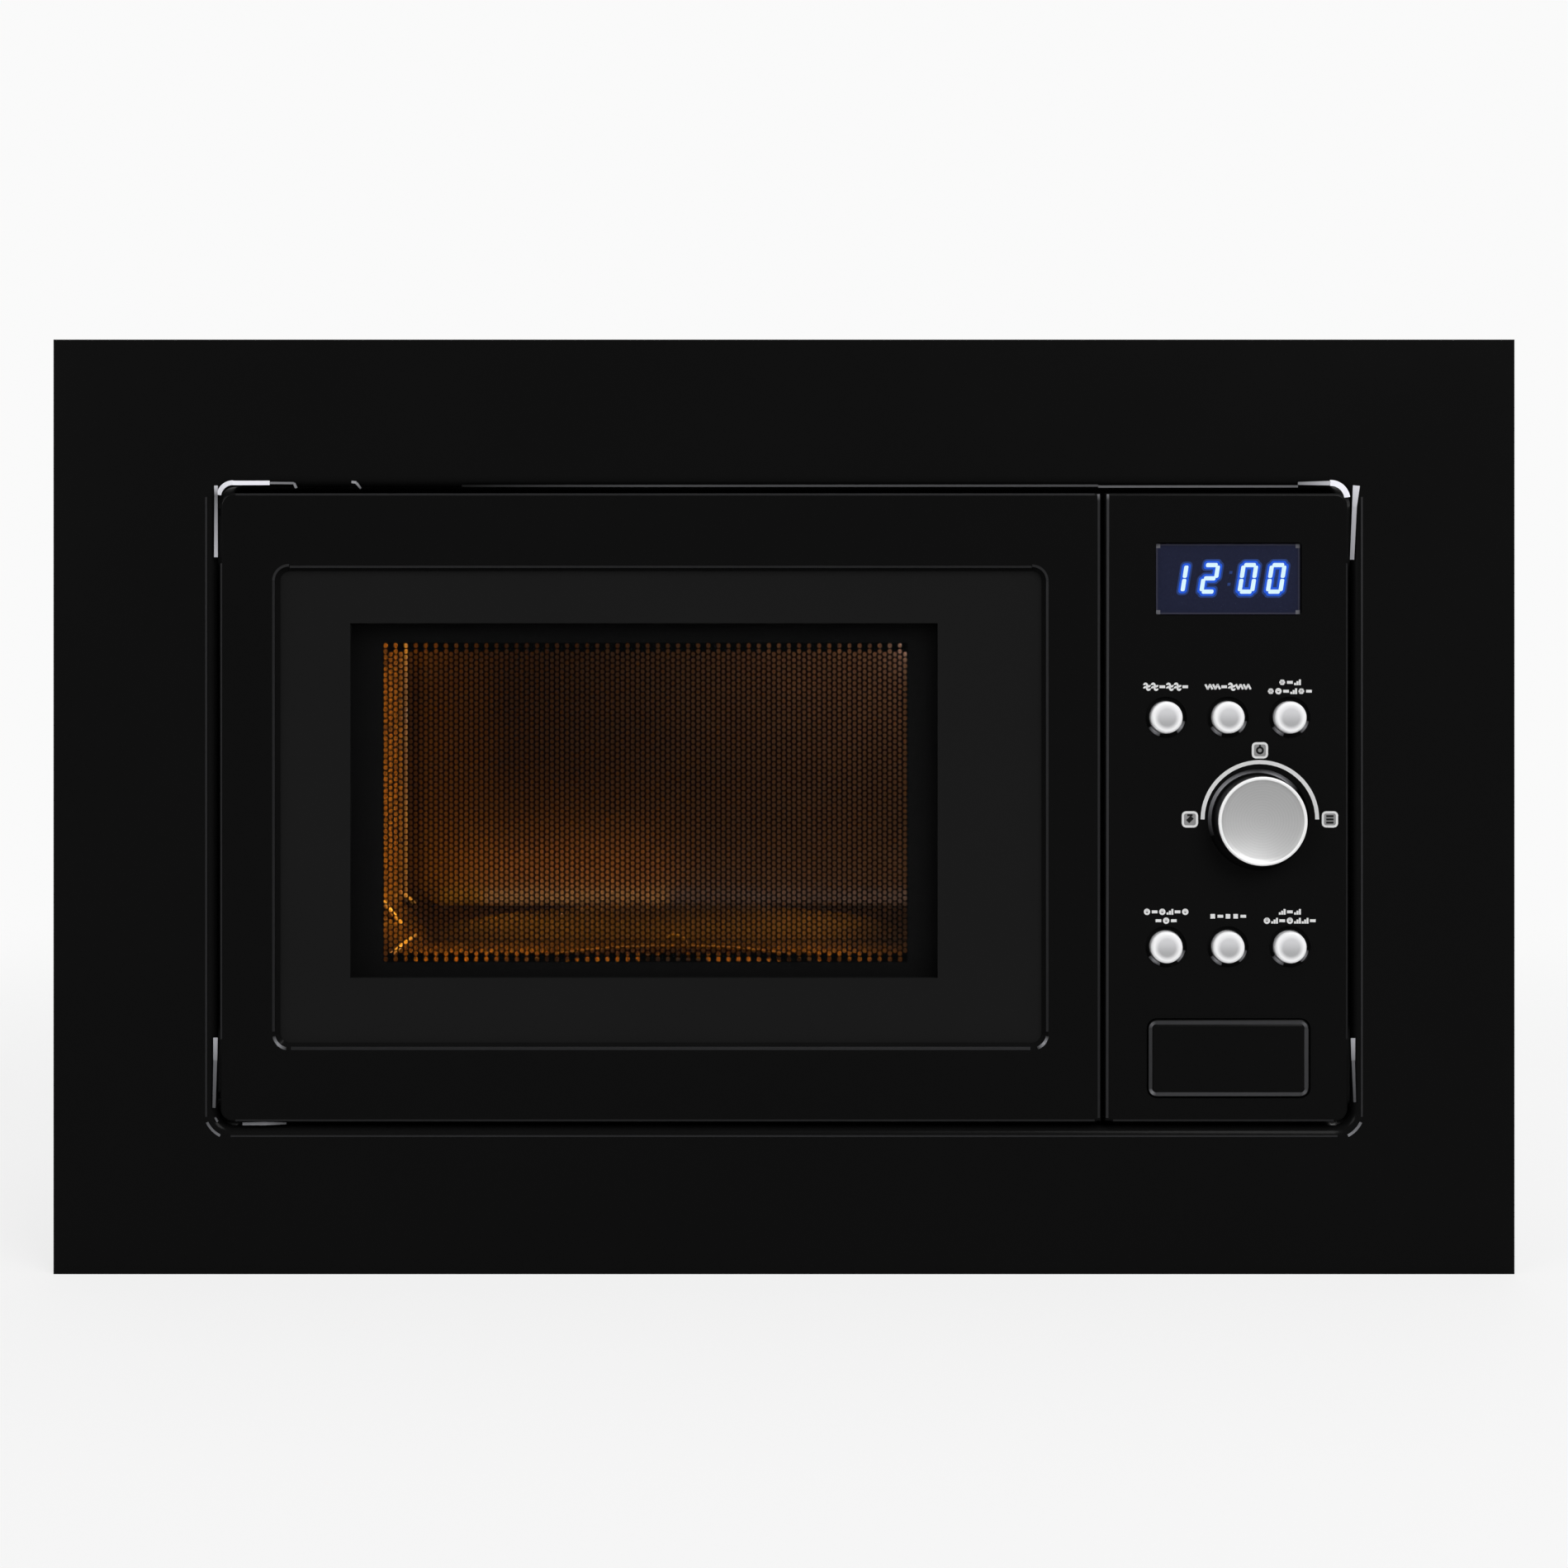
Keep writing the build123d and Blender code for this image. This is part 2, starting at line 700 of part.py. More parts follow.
# Base plate, folded up inside the wrap on both sides
with BuildPart() as base_plate:
    with BuildSketch(Plane.XZ.offset(-front_plate_rear)):
        with Locations((0, case_bottom + base_flange_h / 2)):
            Rectangle(case_in_w, base_flange_h)
        with Locations((0, case_bottom + base_flange_h / 2 + case_sheet)):
            Rectangle(case_in_w - 2 * case_sheet, base_flange_h, mode=Mode.SUBTRACT)
    extrude(amount=front_plate_rear - rear_panel_front)
    with BuildSketch(Plane.XY.offset(case_bottom)):
        with Locations((fan_x - vent_slot_l / 2, base_vent_y)):
            with GridLocations(vent_slot_l + vent_pitch, vent_pitch, base_vent_columns, base_vent_rows):
                SlotOverall(vent_slot_l, vent_slot_w)
    extrude(amount=case_sheet, mode=Mode.SUBTRACT)
save(base_plate.part, "base_plate")

# Rear panel, with the fan's inlet vents and the cord inlet
with BuildPart() as rear_panel:
    with BuildSketch(front_plane(rear_panel_rear, 0, mid_z)):
        Rectangle(case_in_w, case_in_h)
    extrude(amount=case_sheet)
    with BuildSketch(front_plane(rear_panel_rear)):
        with Locations((fan_x, fan_z)):
            with GridLocations(vent_slot_l + vent_pitch, vent_pitch, vent_columns, vent_rows):
                SlotOverall(vent_slot_l, vent_slot_w)
        with Locations((cavity_left + vent_slot_l, cavity_top - left_vent_drop)):
            with GridLocations(vent_slot_l + vent_pitch, vent_pitch, 1, left_vent_rows):
                SlotOverall(vent_slot_l, vent_slot_w)
        with Locations((gland_x, gland_z)):
            Circle(gland_body_d / 2 + running_gap)
        with Locations(*rear_screws):
            Circle(screw_hole_d / 2)
    extrude(amount=case_sheet, mode=Mode.SUBTRACT)
save(rear_panel.part, "rear_panel")

# Screws: six through the wrap's rear flange, and two through each frame bracket
with BuildPart() as case_screws:
    for screw_x, screw_z in rear_screws:
        with BuildSketch(front_plane(case_rear_y + screw_head_h, screw_x, screw_z)):
            Circle(screw_head_d / 2)
        extrude(amount=screw_head_h)
        with BuildSketch(front_plane(case_rear_y, screw_x, screw_z)):
            Circle(screw_shank_d / 2)
        extrude(amount=screw_shank_l)
    for side in (-1, 1):
        seat_x = case_w / 2 + bracket_sheet
        with BuildSketch(side_plane(side * seat_x, side_screw_y, mid_z)):
            with GridLocations(0, side_screw_spacing, 1, 2):
                Circle(screw_head_d / 2)
        extrude(amount=side * screw_head_h)
        with BuildSketch(side_plane(side * seat_x, side_screw_y, mid_z)):
            with GridLocations(0, side_screw_spacing, 1, 2):
                Circle(screw_shank_d / 2)
        extrude(amount=-side * screw_shank_l)
    with BuildSketch(front_plane(case_rear_y + screw_head_h)):
        with Locations(*rear_screws):
            Rectangle(screw_shank_d, screw_recess_w)
            Rectangle(screw_recess_w, screw_shank_d)
    extrude(amount=screw_head_h / 2, mode=Mode.SUBTRACT)
save(case_screws.part, "case_screws")

# Cord inlet: a bush in the rear panel
with BuildPart() as cord_gland:
    with BuildSketch(front_plane(rear_panel_rear + gland_flange_t, gland_x, gland_z)):
        Circle(gland_flange_d / 2)
    extrude(amount=gland_flange_t)
    with BuildSketch(front_plane(rear_panel_rear, gland_x, gland_z)):
        Circle(gland_body_d / 2)
    extrude(amount=gland_l)
    with BuildSketch(front_plane(rear_panel_rear + gland_flange_t, gland_x, gland_z)):
        Circle(gland_bore_d / 2)
    extrude(amount=gland_flange_t + gland_l, mode=Mode.SUBTRACT)
save(cord_gland.part, "cord_gland")

# Door moulding: a tray with a bevelled opening, hinge bosses and slots for the hinge arms
with BuildPart() as door_frame:
    with BuildSketch(front_plane(choke_rear_y, door_x, mid_z)) as door_outline:
        Rectangle(door_w, fascia_h)
        fillet(door_outline.vertices().group_by(Axis.X)[0], radius=fascia_corner_r)
    extrude(amount=choke_rear_y - fascia_y)
    fillet(door_frame.faces().filter_by(Axis.Y).sort_by(Axis.Y)[0].edges(), radius=fascia_edge_r)
    with BuildSketch(Plane.XY.offset(fascia_bottom)):
        with BuildLine():
            Polyline(
                (fascia_left, choke_rear_y - hinge_corner_relief),
                (fascia_left + hinge_corner_relief, choke_rear_y),
                (fascia_left, choke_rear_y),
                close=True,
            )
        make_face()
    extrude(amount=fascia_h, mode=Mode.SUBTRACT)
    with BuildSketch(front_plane(choke_rear_y, door_x, mid_z)):
        Rectangle(door_w - 2 * moulding_wall, fascia_h - 2 * moulding_wall)
    extrude(amount=choke_rear_y - inner_wall_y, mode=Mode.SUBTRACT)
    boss_left = fascia_left + moulding_wall
    boss_right = hinge_x + bezel_to_boss
    slot_right = hinge_x + hinge_arm_w / 2 + slot_gap
    past_square = radians(door_open_angle - 90)
    arm_lean = hinge_inset_x * tan(past_square) + hinge_arm_w / 2 / cos(past_square)
    slot_front = hinge_y - arm_lean - slot_gap
    for end, arm_z in zip((1, -1), hinge_arms_z):
        boss_near = arm_z + end * (hinge_arm_t / 2 + slot_gap)
        with BuildSketch(front_plane(inner_wall_y)):
            with Locations(((boss_left + boss_right) / 2, boss_near + end * hinge_boss_h / 2)):
                Rectangle(boss_right - boss_left, hinge_boss_h)
        extrude(amount=-hinge_boss_depth)
        with BuildSketch(Plane(origin=(hinge_x, hinge_y, boss_near), z_dir=(0, 0, end))):
            Circle(hinge_pin_d / 2 + running_gap)
        extrude(amount=hinge_boss_h, mode=Mode.SUBTRACT)
        with BuildSketch(Plane.XY.offset(arm_z - hinge_arm_t / 2 - slot_gap)):
            with Locations(((fascia_left + slot_right) / 2, (slot_front + choke_rear_y) / 2)):
                Rectangle(slot_right - fascia_left, choke_rear_y - slot_front)
        extrude(amount=hinge_arm_t + 2 * slot_gap, mode=Mode.SUBTRACT)
    with BuildSketch(front_plane(inner_wall_y, door_x, mid_z)):
        RectangleRounded(opening_back_w, opening_back_h, inner_panel_r - bevel_w)
    extrude(amount=moulding_wall, mode=Mode.SUBTRACT)
    door_face = door_frame.faces().filter_by(Axis.Y).sort_by(Axis.Y)[0]
    chamfer(
        door_face.inner_wires()[0].edges(),
        length=bevel_w,
        length2=moulding_wall - bevel_land,
        reference=door_face,
    )
    with BuildSketch(front_plane(inner_wall_y, hook_x, mid_z)):
        Rectangle(hook_t, hook_guide_h)
    extrude(amount=-(hook_bar_y - rest_gap - inner_wall_y))
save(door_frame.part, "door_frame")

# Bezel: the flat inner panel of the door, seated behind the opening, with the window hole
with BuildPart() as door_bezel:
    with BuildSketch(front_plane(glass_front_y)):
        with Locations((door_x, mid_z)):
            RectangleRounded(opening_back_w + 2 * bezel_lap, opening_back_h + 2 * bezel_lap, inner_panel_r)
        with Locations((cavity_x, cavity_mid_z)):
            Rectangle(window_w, window_h, mode=Mode.SUBTRACT)
    extrude(amount=bezel_t)
save(door_bezel.part, "door_bezel")

# Window glass behind the bezel
with BuildPart() as window_glass:
    with BuildSketch(front_plane(glass_front_y + glass_t, cavity_x, cavity_mid_z)):
        RectangleRounded(window_w + 2 * glass_lap, window_h + 2 * glass_lap, glass_corner_r)
    extrude(amount=glass_t)
save(window_glass.part, "window_glass")

# Screen: the steel sheet behind the glass, perforated over the middle of the window
with BuildPart() as perforated_screen:
    with BuildSketch(front_plane(choke_y, cavity_x, cavity_mid_z)):
        Rectangle(window_w + 2 * screen_lap, window_h + 2 * screen_lap)
    extrude(amount=screen_t)
save(perforated_screen.part, "perforated_screen")

# Choke frame: the folded steel channel that seals the microwaves in around the mouth
with BuildPart() as choke_frame:
    choke_w = cavity_w + 2 * choke_margin
    choke_h = cavity_h + 2 * choke_margin
    hole_w = choke_w - 2 * choke_trough - 2 * choke_flange
    hole_h = choke_h - 2 * choke_trough - 2 * choke_flange
    with BuildSketch(front_plane(choke_rear_y, cavity_x, cavity_mid_z)):
        Rectangle(choke_w, choke_h)
    extrude(amount=choke_rear_y - choke_y)
    with BuildSketch(front_plane(choke_rear_y, cavity_x, cavity_mid_z)):
        Rectangle(choke_w - 2 * choke_sheet, choke_h - 2 * choke_sheet)
        Rectangle(choke_w - 2 * choke_trough, choke_h - 2 * choke_trough, mode=Mode.SUBTRACT)
        trough_in_w = choke_w - 2 * choke_trough - 2 * choke_sheet
        trough_in_h = choke_h - 2 * choke_trough - 2 * choke_sheet
        Rectangle(trough_in_w, trough_in_h)
    extrude(amount=choke_rear_y - choke_y - choke_sheet, mode=Mode.SUBTRACT)
    with BuildSketch(front_plane(choke_rear_y, cavity_x, cavity_mid_z)):
        Rectangle(hole_w, hole_h)
    extrude(amount=choke_rear_y - choke_y, mode=Mode.SUBTRACT)
save(choke_frame.part, "choke_frame")

# Inner glass, which keeps steam off the screen
with BuildPart() as inner_glass:
    with BuildSketch(front_plane(choke_y + choke_sheet + inner_glass_t, cavity_x, cavity_mid_z)):
        Rectangle(trough_in_w - 2 * rest_gap, trough_in_h - 2 * rest_gap)
    extrude(amount=inner_glass_t)
save(inner_glass.part, "inner_glass")

# Choke cover: the plastic cover over the channel, on the cavity side of the door
with BuildPart() as choke_cover:
    cover_left = fascia_left + choke_cover_hinge_side
    cover_right = door_right - choke_cover_side
    with BuildSketch(front_plane(door_rear_y)):
        with Locations(((cover_left + cover_right) / 2, mid_z)):
            Rectangle(cover_right - cover_left, fascia_h - 2 * choke_cover_side)
        with Locations((cavity_x, cavity_mid_z)):
            Rectangle(trough_in_w, trough_in_h, mode=Mode.SUBTRACT)
        for hook_z in (hook_lower_z, hook_upper_z):
            with Locations((hook_x, hook_z + (hook_lift - hook_barb) / 2)):
                Rectangle(hook_t + 2 * slot_gap, hook_slot_h, mode=Mode.SUBTRACT)
        for arm_z in hinge_arms_z:
            with Locations(((fascia_left + slot_right) / 2, arm_z)):
                Rectangle(slot_right - fascia_left, hinge_arm_t + 2 * slot_gap, mode=Mode.SUBTRACT)
    extrude(amount=choke_cover_t)
save(choke_cover.part, "choke_cover")

# Hinge arms: one through the front plate at each end of the door, with a foot behind the plate
hinge_foot_x = (cavity_left - case_sheet - case_in_w / 2) / 2
with BuildPart() as hinge_arms:
    for end, arm_z in zip((-1, 1), hinge_arms_z):
        with BuildSketch(Plane.XY.offset(arm_z - hinge_arm_t / 2)):
            with Locations((hinge_x, (hinge_y + front_plate_rear) / 2)):
                Rectangle(hinge_arm_w, front_plate_rear - hinge_y)
            with Locations((hinge_x, hinge_y)):
                Circle(hinge_arm_w / 2)
                Circle(hinge_pin_d / 2 + running_gap, mode=Mode.SUBTRACT)
        extrude(amount=hinge_arm_t)
        with BuildSketch(front_plane(front_plate_rear + hinge_arm_t)):
            with Locations((hinge_foot_x, arm_z - end * hinge_foot_shift)):
                Rectangle(hinge_foot_w, hinge_foot_h)
        extrude(amount=hinge_arm_t)
save(hinge_arms.part, "hinge_arms")

# Hinge pins, one through each arm into the door's boss
with BuildPart() as hinge_pins:
    for end, arm_z in zip((1, -1), hinge_arms_z):
        with BuildSketch(Plane(origin=(hinge_x, hinge_y, arm_z - end * hinge_arm_t / 2), z_dir=(0, 0, end))):
            Circle(hinge_pin_d / 2)
        extrude(amount=hinge_arm_t + hinge_pin_l)
save(hinge_pins.part, "hinge_pins")

# Latch hooks: one sliding bar in the door, with two barbed hooks that reach into the case
with BuildPart() as latch_hooks:
    with BuildSketch(front_plane(hook_bar_y, hook_x, mid_z)):
        Rectangle(hook_t, hook_spacing + 2 * hook_h)
    extrude(amount=-hook_bar_t)
    for hook_z in (hook_lower_z, hook_upper_z):
        with BuildSketch(side_plane(hook_x - hook_t / 2)):
            with Locations(((hook_bar_y + hook_tip_y) / 2, hook_z)):
                Rectangle(hook_tip_y - hook_bar_y, hook_h)
            with BuildLine():
                Polyline(
                    (hook_tip_y - hook_barb_l, hook_z - hook_h / 2),
                    (hook_tip_y - hook_barb_l, hook_z - hook_h / 2 - hook_barb),
                    (hook_tip_y - hook_barb_l / 3, hook_z - hook_h / 2 - hook_barb),
                    (hook_tip_y, hook_z - hook_h / 2),
                    close=True,
                )
            make_face()
        extrude(amount=hook_t)
save(latch_hooks.part, "latch_hooks")

# Interlock bracket: the plate beside the cavity that carries the catches, the switches and the lever pin
with BuildPart() as interlock_bracket:
    plate_bottom = lever_pivot_z - interlock_edge
    plate_top = hook_upper_z + interlock_edge + switch_h / 2
    with BuildSketch(Plane.XY.offset(plate_bottom)):
        with Locations((interlock_x + interlock_t / 2, front_plate_rear + interlock_depth / 2)):
            Rectangle(interlock_t, interlock_depth)
        with Locations((interlock_x + interlock_t - interlock_foot / 2, front_plate_rear + interlock_t / 2)):
            Rectangle(interlock_foot, interlock_t)
    extrude(amount=plate_top - plate_bottom)
    for hook_z in (hook_lower_z, hook_upper_z):
        catch_top = hook_z - hook_h / 2 - hook_barb - catch_gap
        catch_right = hook_x + hook_t / 2 + slot_gap
        catch_y = hook_tip_y - hook_barb_l - catch_l / 2 - slot_gap
        with BuildSketch(Plane.XY.offset(catch_top - catch_h)):
            with Locations(((interlock_x + catch_right) / 2, catch_y)):
                Rectangle(catch_right - interlock_x, catch_l)
        extrude(amount=catch_h)
    with BuildSketch(side_plane(interlock_x, lever_pivot_y, lever_pivot_z)):
        Circle(lever_pin_d / 2)
    extrude(amount=lever_ear_x - interlock_x)
    with BuildSketch(Plane.XY.offset(plate_bottom)):
        with Locations((lever_ear_x + interlock_t / 2, front_plate_rear + interlock_depth / 2)):
            Rectangle(interlock_t, interlock_depth)
        with Locations((lever_ear_x + interlock_foot / 2, front_plate_rear + interlock_t / 2)):
            Rectangle(interlock_foot, interlock_t)
    extrude(amount=2 * interlock_edge)
save(interlock_bracket.part, "interlock_bracket")

# Latch lever: the button pushes its upright arm, and its front arm lifts the lower hook
with BuildPart() as latch_lever:
    hub_left = interlock_x + interlock_t + slot_gap
    hub_right = lever_ear_x - slot_gap
    nose_z = hook_lower_z - hook_h / 2 - hook_barb - lever_gap - lever_arm_t / 2
    nose_y = lever_pivot_y - lever_output_back
    nose = Vector(nose_y - lever_pivot_y, nose_z - lever_pivot_z)
    with BuildSketch(side_plane(hub_left, lever_pivot_y, lever_pivot_z)):
        Circle(lever_hub_d / 2)
    extrude(amount=hub_right - hub_left)
    with BuildSketch(side_plane(lever_input_x - lever_input_w / 2, lever_pivot_y, lever_pivot_z)):
        with Locations((0, (lever_input_h + lever_arm_t) / 2)):
            Rectangle(lever_arm_t, lever_input_h + lever_arm_t)
    extrude(amount=lever_input_w)
    with BuildSketch(side_plane(hook_x - hook_t / 2, lever_pivot_y, lever_pivot_z)):
        SlotCenterPoint(nose / 2, nose, lever_arm_t)
    extrude(amount=hook_t)
    with BuildSketch(side_plane(hub_left, lever_pivot_y, lever_pivot_z)):
        Circle(lever_pin_d / 2 + running_gap)
    extrude(amount=hub_right - hub_left, mode=Mode.SUBTRACT)
save(latch_lever.part, "latch_lever")

# Door switches on the interlock bracket, behind the hooks
with BuildPart() as door_switches:
    switch_left = interlock_x + interlock_t
    switch_front = hook_tip_y + plunger_l + plunger_gap
    for hook_z in (hook_lower_z, hook_upper_z):
        switch_z = hook_z + (switch_h - hook_h) / 2
        with BuildSketch(Plane.XY.offset(switch_z - switch_h / 2)):
            with Locations((switch_left + switch_w / 2, switch_front + switch_d / 2)):
                Rectangle(switch_w, switch_d)
        extrude(amount=switch_h)
        with BuildSketch(front_plane(switch_front, switch_left + switch_w - plunger_d, hook_z)):
            Circle(plunger_d / 2)
        extrude(amount=plunger_l)
save(door_switches.part, "door_switches")

# Door-open button: a hollow cap with a pushrod to the latch lever and a post for its spring
with BuildPart() as door_button:
    cap_front = fascia_y - door_button_proud
    cap_rear = cap_front + door_button_depth
    rod_tip = lever_pivot_y - lever_arm_t / 2 - lever_gap
    rod_z = lever_pivot_z + lever_input_h
    with BuildSketch(front_plane(cap_rear, door_button_x, door_button_z)):
        RectangleRounded(door_button_w, door_button_h, door_button_r)
    extrude(amount=door_button_depth)
    cap_face = door_button.faces().filter_by(Axis.Y).sort_by(Axis.Y)[0]
    chamfer(cap_face.edges(), length=door_button_bevel, length2=door_button_proud, reference=cap_face)
    with BuildSketch(front_plane(cap_rear, door_button_x, door_button_z)):
        RectangleRounded(
            door_button_w - 2 * door_button_wall,
            door_button_h - 2 * door_button_wall,
            door_button_r - door_button_wall,
        )
    extrude(amount=door_button_depth - door_button_wall, mode=Mode.SUBTRACT)
    with BuildSketch(front_plane(rod_tip, lever_input_x, rod_z)):
        Circle(door_button_boss_d / 2)
    extrude(amount=rod_tip - cap_front - door_button_wall)
    fillet(door_button.faces().sort_by(Axis.Y)[-1].edges(), radius=door_button_boss_d / 4)
    with BuildSketch(front_plane(cap_front + door_button_wall + spring_post_l, spring_x, door_button_z)):
        Circle(spring_coil_d / 2 - spring_wire_d / 2 - slot_gap)
    extrude(amount=spring_post_l)
save(door_button.part, "door_button")

# Return spring of the door-open button, between the cap and the front plate
with BuildPart() as button_spring:
    spring_front = cap_front + door_button_wall + spring_wire_d / 2 + rest_gap
    spring_rear = case_front_y - spring_wire_d / 2 - rest_gap
    with BuildLine() as coil:
        Helix(
            pitch=spring_pitch,
            height=spring_rear - spring_front,
            radius=spring_coil_d / 2,
            center=(spring_x, spring_front, door_button_z),
            direction=(0, 1, 0),
        )
    with BuildSketch(Plane(origin=coil.line @ 0, z_dir=coil.line % 0)):
        Circle(spring_wire_d / 2)
    sweep(path=coil.line)
save(button_spring.part, "button_spring")

# Control panel: a shell with seats for the buttons, the knob and the display
buttons = {
    "microwave_button": (button_mid_x - button_pitch, button_top_z),
    "grill_button": (button_mid_x, button_top_z),
    "defrost_button": (button_mid_x + button_pitch, button_top_z),
    "clock_button": (button_mid_x - button_pitch, button_bottom_z),
    "stop_button": (button_mid_x, button_bottom_z),
    "start_button": (button_mid_x + button_pitch, button_bottom_z),
}
board_w = panel_w - 2 * moulding_wall - 2 * board_margin
board_top_z = fascia_top - moulding_wall - board_margin
board_z = (board_bottom_z + board_top_z) / 2
board_h = board_top_z - board_bottom_z
post_spacing_x = board_w - 2 * board_post_inset
post_spacing_z = board_h - 2 * board_post_inset
with BuildPart() as control_panel:
    with BuildSketch(front_plane(case_front_y, panel_x, mid_z)) as panel_outline:
        Rectangle(panel_w, fascia_h)
        fillet(panel_outline.vertices().group_by(Axis.X)[-1], radius=fascia_corner_r)
    extrude(amount=case_front_y - fascia_y)
    fillet(control_panel.faces().filter_by(Axis.Y).sort_by(Axis.Y)[0].edges(), radius=fascia_edge_r)
    with BuildSketch(front_plane(case_front_y, panel_x, mid_z)):
        Rectangle(panel_w - 2 * moulding_wall, fascia_h - 2 * moulding_wall)
    extrude(amount=case_front_y - inner_wall_y, mode=Mode.SUBTRACT)
    with BuildSketch(front_plane(inner_wall_y + sleeve_l, door_button_x, door_button_z)):
        sleeve_side = 2 * (door_button_gap + guide_wall)
        RectangleRounded(
            door_button_w + sleeve_side, door_button_h + sleeve_side, door_button_r + sleeve_side / 2
        )
    extrude(amount=sleeve_l)
    with BuildSketch(front_plane(board_y, panel_x, board_z)):
        with GridLocations(post_spacing_x, post_spacing_z, 2, 2):
            Circle(board_post_d / 2)
    extrude(amount=board_y - inner_wall_y)
    with BuildSketch(front_plane(inner_wall_y + sleeve_l, door_button_x, door_button_z)):
        RectangleRounded(
            door_button_w + 2 * door_button_gap,
            door_button_h + 2 * door_button_gap,
            door_button_r + door_button_gap,
        )
    extrude(amount=sleeve_l + moulding_wall, mode=Mode.SUBTRACT)
    with BuildSketch(front_plane(fascia_y + button_ring_depth)):
        with Locations(*buttons.values()):
            Circle(button_d / 2 + button_gap + button_ring_w)
    extrude(amount=button_ring_depth, mode=Mode.SUBTRACT)
    with BuildSketch(front_plane(fascia_y + knob_recess_depth, knob_x, knob_z)):
        Circle(knob_recess_d / 2)
    extrude(amount=knob_recess_depth, mode=Mode.SUBTRACT)
    with BuildSketch(front_plane(fascia_y + lens_sink + display_lens_t, display_x, display_z)):
        RectangleRounded(display_w + 2 * lens_gap, display_h + 2 * lens_gap, display_corner_r + lens_gap)
    extrude(amount=lens_sink + display_lens_t, mode=Mode.SUBTRACT)
    with BuildSketch(front_plane(inner_wall_y)):
        with Locations(*buttons.values()):
            Circle(button_d / 2 + button_gap)
        with Locations((knob_x, knob_z)):
            Circle(encoder_bush_d / 2 + slot_gap)
        with Locations((display_x, display_z)):
            Rectangle(display_w - 2 * display_rim, display_h - 2 * display_rim)
    extrude(amount=moulding_wall, mode=Mode.SUBTRACT)
save(control_panel.part, "control_panel")

# Display lens, set into the panel a little below its face
with BuildPart() as display_window:
    with BuildSketch(front_plane(fascia_y + lens_sink + display_lens_t, display_x, display_z)):
        RectangleRounded(display_w, display_h, display_corner_r)
    extrude(amount=display_lens_t)
save(display_window.part, "display_window")

# Display module on the control board, behind the lens
with BuildPart() as display_module:
    module_front = fascia_y + lens_sink + display_lens_t + display_module_gap
    with BuildSketch(front_plane(board_y, display_x, display_z)):
        Rectangle(
            display_w - 2 * display_rim - 2 * slot_gap, display_h - 2 * display_rim - 2 * slot_gap
        )
    extrude(amount=board_y - module_front)
save(display_module.part, "display_module")

# Control board, with a switch behind each button and relays on its rear
with BuildPart() as control_board:
    with BuildSketch(front_plane(board_y + board_t, panel_x, board_z)):
        Rectangle(board_w, board_h)
    extrude(amount=board_t)
    with BuildSketch(front_plane(board_y)):
        with Locations(*buttons.values()):
            Rectangle(tact_switch, tact_switch)
    extrude(amount=tact_switch_h)
    with BuildSketch(front_plane(board_y + board_t + relay_h, panel_x, board_z)):
        with GridLocations(board_w / 2, board_h - 2 * relay_l, 2, 2):
            Rectangle(relay_w, relay_l)
    extrude(amount=relay_h)
    with BuildSketch(front_plane(board_y + board_t + relay_h, panel_x, board_z)):
        with GridLocations(0, board_h / 3, 1, 2):
            Rectangle(header_w, header_h)
    extrude(amount=relay_h)
save(control_board.part, "control_board")

# Push buttons: a domed cap, a flange behind the panel, and a stem to the switch
for button_name, (button_x, button_z) in buttons.items():
    with BuildPart() as push_button:
        flange_front = inner_wall_y + rest_gap
        stem_rear = board_y - tact_switch_h - button_travel - rest_gap
        with BuildSketch(front_plane(flange_front, button_x, button_z)):
            Circle(button_d / 2)
        extrude(amount=flange_front - fascia_y + button_proud)
        fillet(push_button.faces().sort_by(Axis.Y)[0].edges(), radius=button_dome_r)
        with BuildSketch(front_plane(flange_front + button_flange_t, button_x, button_z)):
            Circle(button_flange_d / 2)
        extrude(amount=button_flange_t)
        with BuildSketch(front_plane(stem_rear, button_x, button_z)):
            Circle(button_stem_d / 2)
        extrude(amount=stem_rear - flange_front - button_flange_t)
    save(push_button.part, button_name)

# Rotary encoder on the control board
with BuildPart() as encoder:
    encoder_front = board_y - encoder_h
    shaft_rear = encoder_front + encoder_shaft_seat
    with BuildSketch(front_plane(board_y, knob_x, knob_z)):
        Rectangle(encoder_body, encoder_body)
    extrude(amount=encoder_h)
    with BuildSketch(front_plane(encoder_front, knob_x, knob_z)):
        Circle(encoder_bush_d / 2)
    extrude(amount=encoder_front - inner_wall_y - slot_gap)
    with BuildSketch(front_plane(shaft_rear + rest_gap, knob_x, knob_z)):
        Circle(encoder_shaft_d / 2 + running_gap)
    extrude(amount=shaft_rear + rest_gap - inner_wall_y, mode=Mode.SUBTRACT)
save(encoder.part, "encoder")

# Encoder shaft, with a flat that keys the knob
with BuildPart() as encoder_shaft:
    knob_front = fascia_y - knob_proud
    shaft_front = knob_front + knob_front_t + rest_gap
    knob_rear = fascia_y + knob_recess_depth - knob_float
    with BuildSketch(front_plane(shaft_rear, knob_x, knob_z)):
        Circle(encoder_shaft_d / 2)
    extrude(amount=shaft_rear - shaft_front)
    with BuildSketch(front_plane(knob_rear, knob_x, knob_z)):
        with Locations((0, encoder_shaft_d - shaft_flat)):
            Rectangle(encoder_shaft_d, encoder_shaft_d)
    extrude(amount=knob_rear - shaft_front, mode=Mode.SUBTRACT)
save(encoder_shaft.part, "encoder_shaft")

